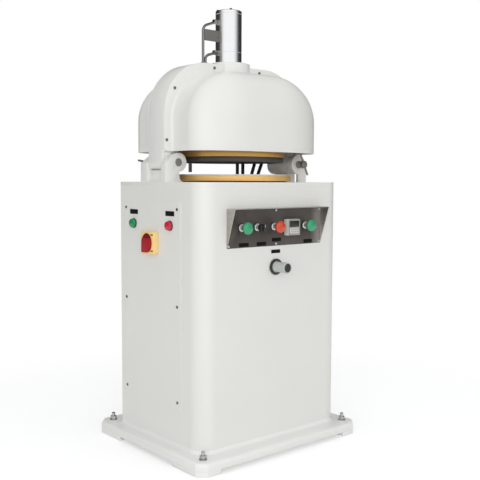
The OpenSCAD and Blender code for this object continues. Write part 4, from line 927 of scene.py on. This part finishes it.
def bent_tube(name, points, radius, bend=0.016):
    """A tube through points with its corners bent round, as a mesh."""
    clear_bench()
    path = bpy.data.curves.new(name, "CURVE")
    path.dimensions = "3D"
    path.bevel_depth = radius
    path.bevel_resolution = 5
    path.use_fill_caps = True
    spine = [Vector(points[0])]
    for a, b, c in zip(points, points[1:], points[2:]):
        a, b, c = Vector(a), Vector(b), Vector(c)
        start = b + (a - b).normalized() * min(bend, (a - b).length * 0.49)
        end = b + (c - b).normalized() * min(bend, (c - b).length * 0.49)
        for k in range(9):
            t = k / 8
            spine.append(start * (1 - t) ** 2 + b * 2 * t * (1 - t) + end * t ** 2)
    spine.append(Vector(points[-1]))
    line = path.splines.new("POLY")
    line.points.add(len(spine) - 1)
    for point, at in zip(line.points, spine):
        point.co = (*at, 1)
    tube = bpy.data.objects.new(name, path)
    bpy.context.scene.collection.objects.link(tube)
    tube.select_set(True)
    bpy.context.view_layer.objects.active = tube
    bpy.ops.object.convert(target="MESH")
    bpy.ops.object.shade_smooth_by_angle(angle=math.radians(40))
    return bpy.context.object


port = [(0.0085, 0.044), (0.009, 0.0445), (0.009, 0.054), (0.0075, 0.0545), (0.0075, 0.0575), (0.0088, 0.058)]
port += [(0.0088, 0.0665), (0.008, 0.0675), (0.005, 0.0675)]
socket = [(0.008, 1.297), (0.008, 1.3045), (0.0072, 1.306), (0.0046, 1.306)]
pipe_r, pipe_bend, port_face, pipe_foot = 0.0045, 0.018, 0.0565, 1.300
pipes = []
for z, out, drop in ((1.448, 0.112, 0.020), (1.344, 0.102, 0.014)):
    run = [(-port_face, 0, z), (-out, 0, z - drop), (-out, 0, pipe_foot)]
    pipes.append(bent_tube("pipe", run, pipe_r, pipe_bend))
    pipes.append(lathe("port", port, (0, 0, z), (-1, 0, 0), sides=6))
    pipes.append(lathe("socket", socket, (-out, 0, 0), sides=24))
pipes = join("bent_pipes", pipes)
coat(pipes, pipe_steel)
fit(pipes, "head", "dark_steel", "hydraulic_pipes")

# The pipe bracket: a plain sheet with a dull grey coat.
# It is clipped to the cylinder and holds the long pipe.
bracket = softened("pipe_bracket", "bracket_sheet", 0.0006, 2)
bracket_grey = finish("bracket_grey", (0.165, 0.158, 0.148), (0.13, 0.125, 0.118), 30, (0.5, 0.65), 300, 0.06)
coat(bracket, bracket_grey)
fit(bracket, "head", "steel", "pipe_bracket")

# Hydraulic hoses: four black rubber hoses from the deck up into the rear of the head.
# The real hoses bend when the head is tipped over; here they keep their rest shape and hang on no body.
rubber = finish("hose_rubber", (0.013, 0.013, 0.013), (0.022, 0.022, 0.022), 60, (0.45, 0.62), 700, 0.08)
hoses = []
hose_r, hose_bend, fitting_ring = 0.0065, 0.03, 0.2415
manifold_x, manifold_y, manifold_long, lean = 0.212, 0.1302, 0.122, math.radians(40)
for turn, share in ((42.3, -0.38), (37.3, -0.21), (29.3, 0.20), (23.2, 0.43)):
    foot = (fitting_ring * math.cos(math.radians(turn)), fitting_ring * math.sin(math.radians(turn)))
    along = manifold_long * share
    top = (manifold_x + along * math.cos(lean), manifold_y - along * math.sin(lean))
    route = [(*foot, 0.916), (*foot, 0.924), (*top, 0.988), (*top, 1.060)]
    hoses.append(bent_tube("hose", route, hose_r, hose_bend))
hoses = join("rubber_hoses", hoses)
coat(hoses, rubber)
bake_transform(hoses)
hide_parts("hydraulic_hoses")

# The rings: turned aluminium, anodised gold, above and round the table.
# A black moulding ring is screwed on under the upper one, and the table's own is painted paler, as painted
# light for the brighter light it catches.
gold = finish(
    "gold_anodised", (0.64, 0.37, 0.09), (0.55, 0.30, 0.065), 8, (0.32, 0.46), 60, 0.05, 0.5, (1, 1, 30)
)
# The table ring's paler gold is painted light.
gold_painted_light = finish(
    "gold_painted_light", (0.92, 0.56, 0.19), (0.82, 0.49, 0.15), 8, (0.28, 0.4), 60, 0.05, 0.3, (1, 1, 30)
)
ring_black = finish(
    "mould_black", (0.040, 0.034, 0.030), (0.062, 0.053, 0.047), 6, (0.35, 0.5), 300, 0.05, 0.0, (1, 1, 12)
)
for node, name, mat, body, slot in (
    ("press_ring", "gold_press_ring", gold, "press", "gold"),
    ("mould_ring", "black_mould_ring", ring_black, "press", "black_plastic"),
    ("table_ring", "gold_table_ring", gold_painted_light, "table", "gold"),
):
    ring = softened(node, name, 0.0007, 2)
    coat(ring, mat)
    fit(ring, body, slot, node)

# The table seal: a ring of black felt, cut from sheet and glued to the deck.
# It keeps flour out from under the table.
# The seal's black is partly real and partly painted shade, standing in for the shade under the table ring.
felt_and_painted_shade = finish("seal_felt", (0.03, 0.03, 0.028), (0.05, 0.049, 0.045), 80, (0.7, 0.9), 900, 0.3)
seal_out, seal_in, deck_top, seal_top = 0.2035, 0.1960, 0.9000, 0.9037
seal = [(seal_out, deck_top), (seal_out, 0.9033), (0.2030, seal_top)]
seal += [(0.1965, seal_top), (seal_in, 0.9033), (seal_in, deck_top)]
seal = lathe("table_seal", seal, sides=96)
bpy.ops.object.mode_set(mode="EDIT")
pick(seal, "FACE", lambda f: len(f.verts) > 8)
bpy.ops.mesh.delete(type="FACE")
bpy.ops.object.mode_set(mode="OBJECT")
coat(seal, felt_and_painted_shade)
fit(seal, "frame", "rubber")

# The rounding plate and the pressing pads: white food-grade nylon, faced on a lathe.
# The plate lies loose on the table, and the pads are screwed to their carrier.
nylon = finish("white_nylon", (0.74, 0.73, 0.69), (0.68, 0.67, 0.63), 12, (0.4, 0.55), 200, 0.04)
for name in ("rounding_plate", "press_pads"):
    coat(nodes[name], nylon)

# Working metal inside the head and cabinet: ground rods, machined alloy and grey castings.
# These pieces keep their plain machined forms and only take their finishes here.
ground = finish(
    "ground_steel", (0.50, 0.49, 0.47), (0.40, 0.39, 0.375), 20, (0.18, 0.32), 300, 0.03, 1.0, (1, 1, 16)
)
alloy = finish(
    "machined_alloy", (0.55, 0.55, 0.54), (0.46, 0.46, 0.45), 15, (0.28, 0.44), 300, 0.05, 1.0, (20, 1, 1)
)
casting = finish("grey_casting", (0.17, 0.175, 0.175), (0.13, 0.133, 0.133), 25, (0.5, 0.7), 260, 0.2)
bronze = finish("bearing_bronze", (0.42, 0.23, 0.07), (0.33, 0.17, 0.05), 25, (0.3, 0.45), 300, 0.05, 1.0)
block_black = finish("contact_black", (0.02, 0.02, 0.021), (0.033, 0.033, 0.034), 50, (0.4, 0.6), 400, 0.06)
sensor_grey = finish("sensor_grey", (0.22, 0.23, 0.225), (0.17, 0.18, 0.175), 50, (0.4, 0.6), 400, 0.06)
for mat, names in (
    (ground, ("piston_rod", "press_rods", "divider_knives", "spindle_bearings", "eccentric_shaft", "oil_tank",
              "guide_crank_left", "guide_crank_right", "hose_manifold")),
    (alloy, ("crosshead", "compact_cylinders", "table_plate")),
    (casting, ("spindle_housing", "driven_pulley", "motor_pulley", "rounding_motor", "pump_motor")),
    (bronze, ("yoke_bushes",)),
    (block_black, ("contact_blocks", "cable_gland")),
    (rubber, ("drive_belt",)),
    (zinc, ("hose_fittings",)),
    (sensor_grey, ("home_sensor",)),
):
    for name in names:
        coat(nodes[name], mat)
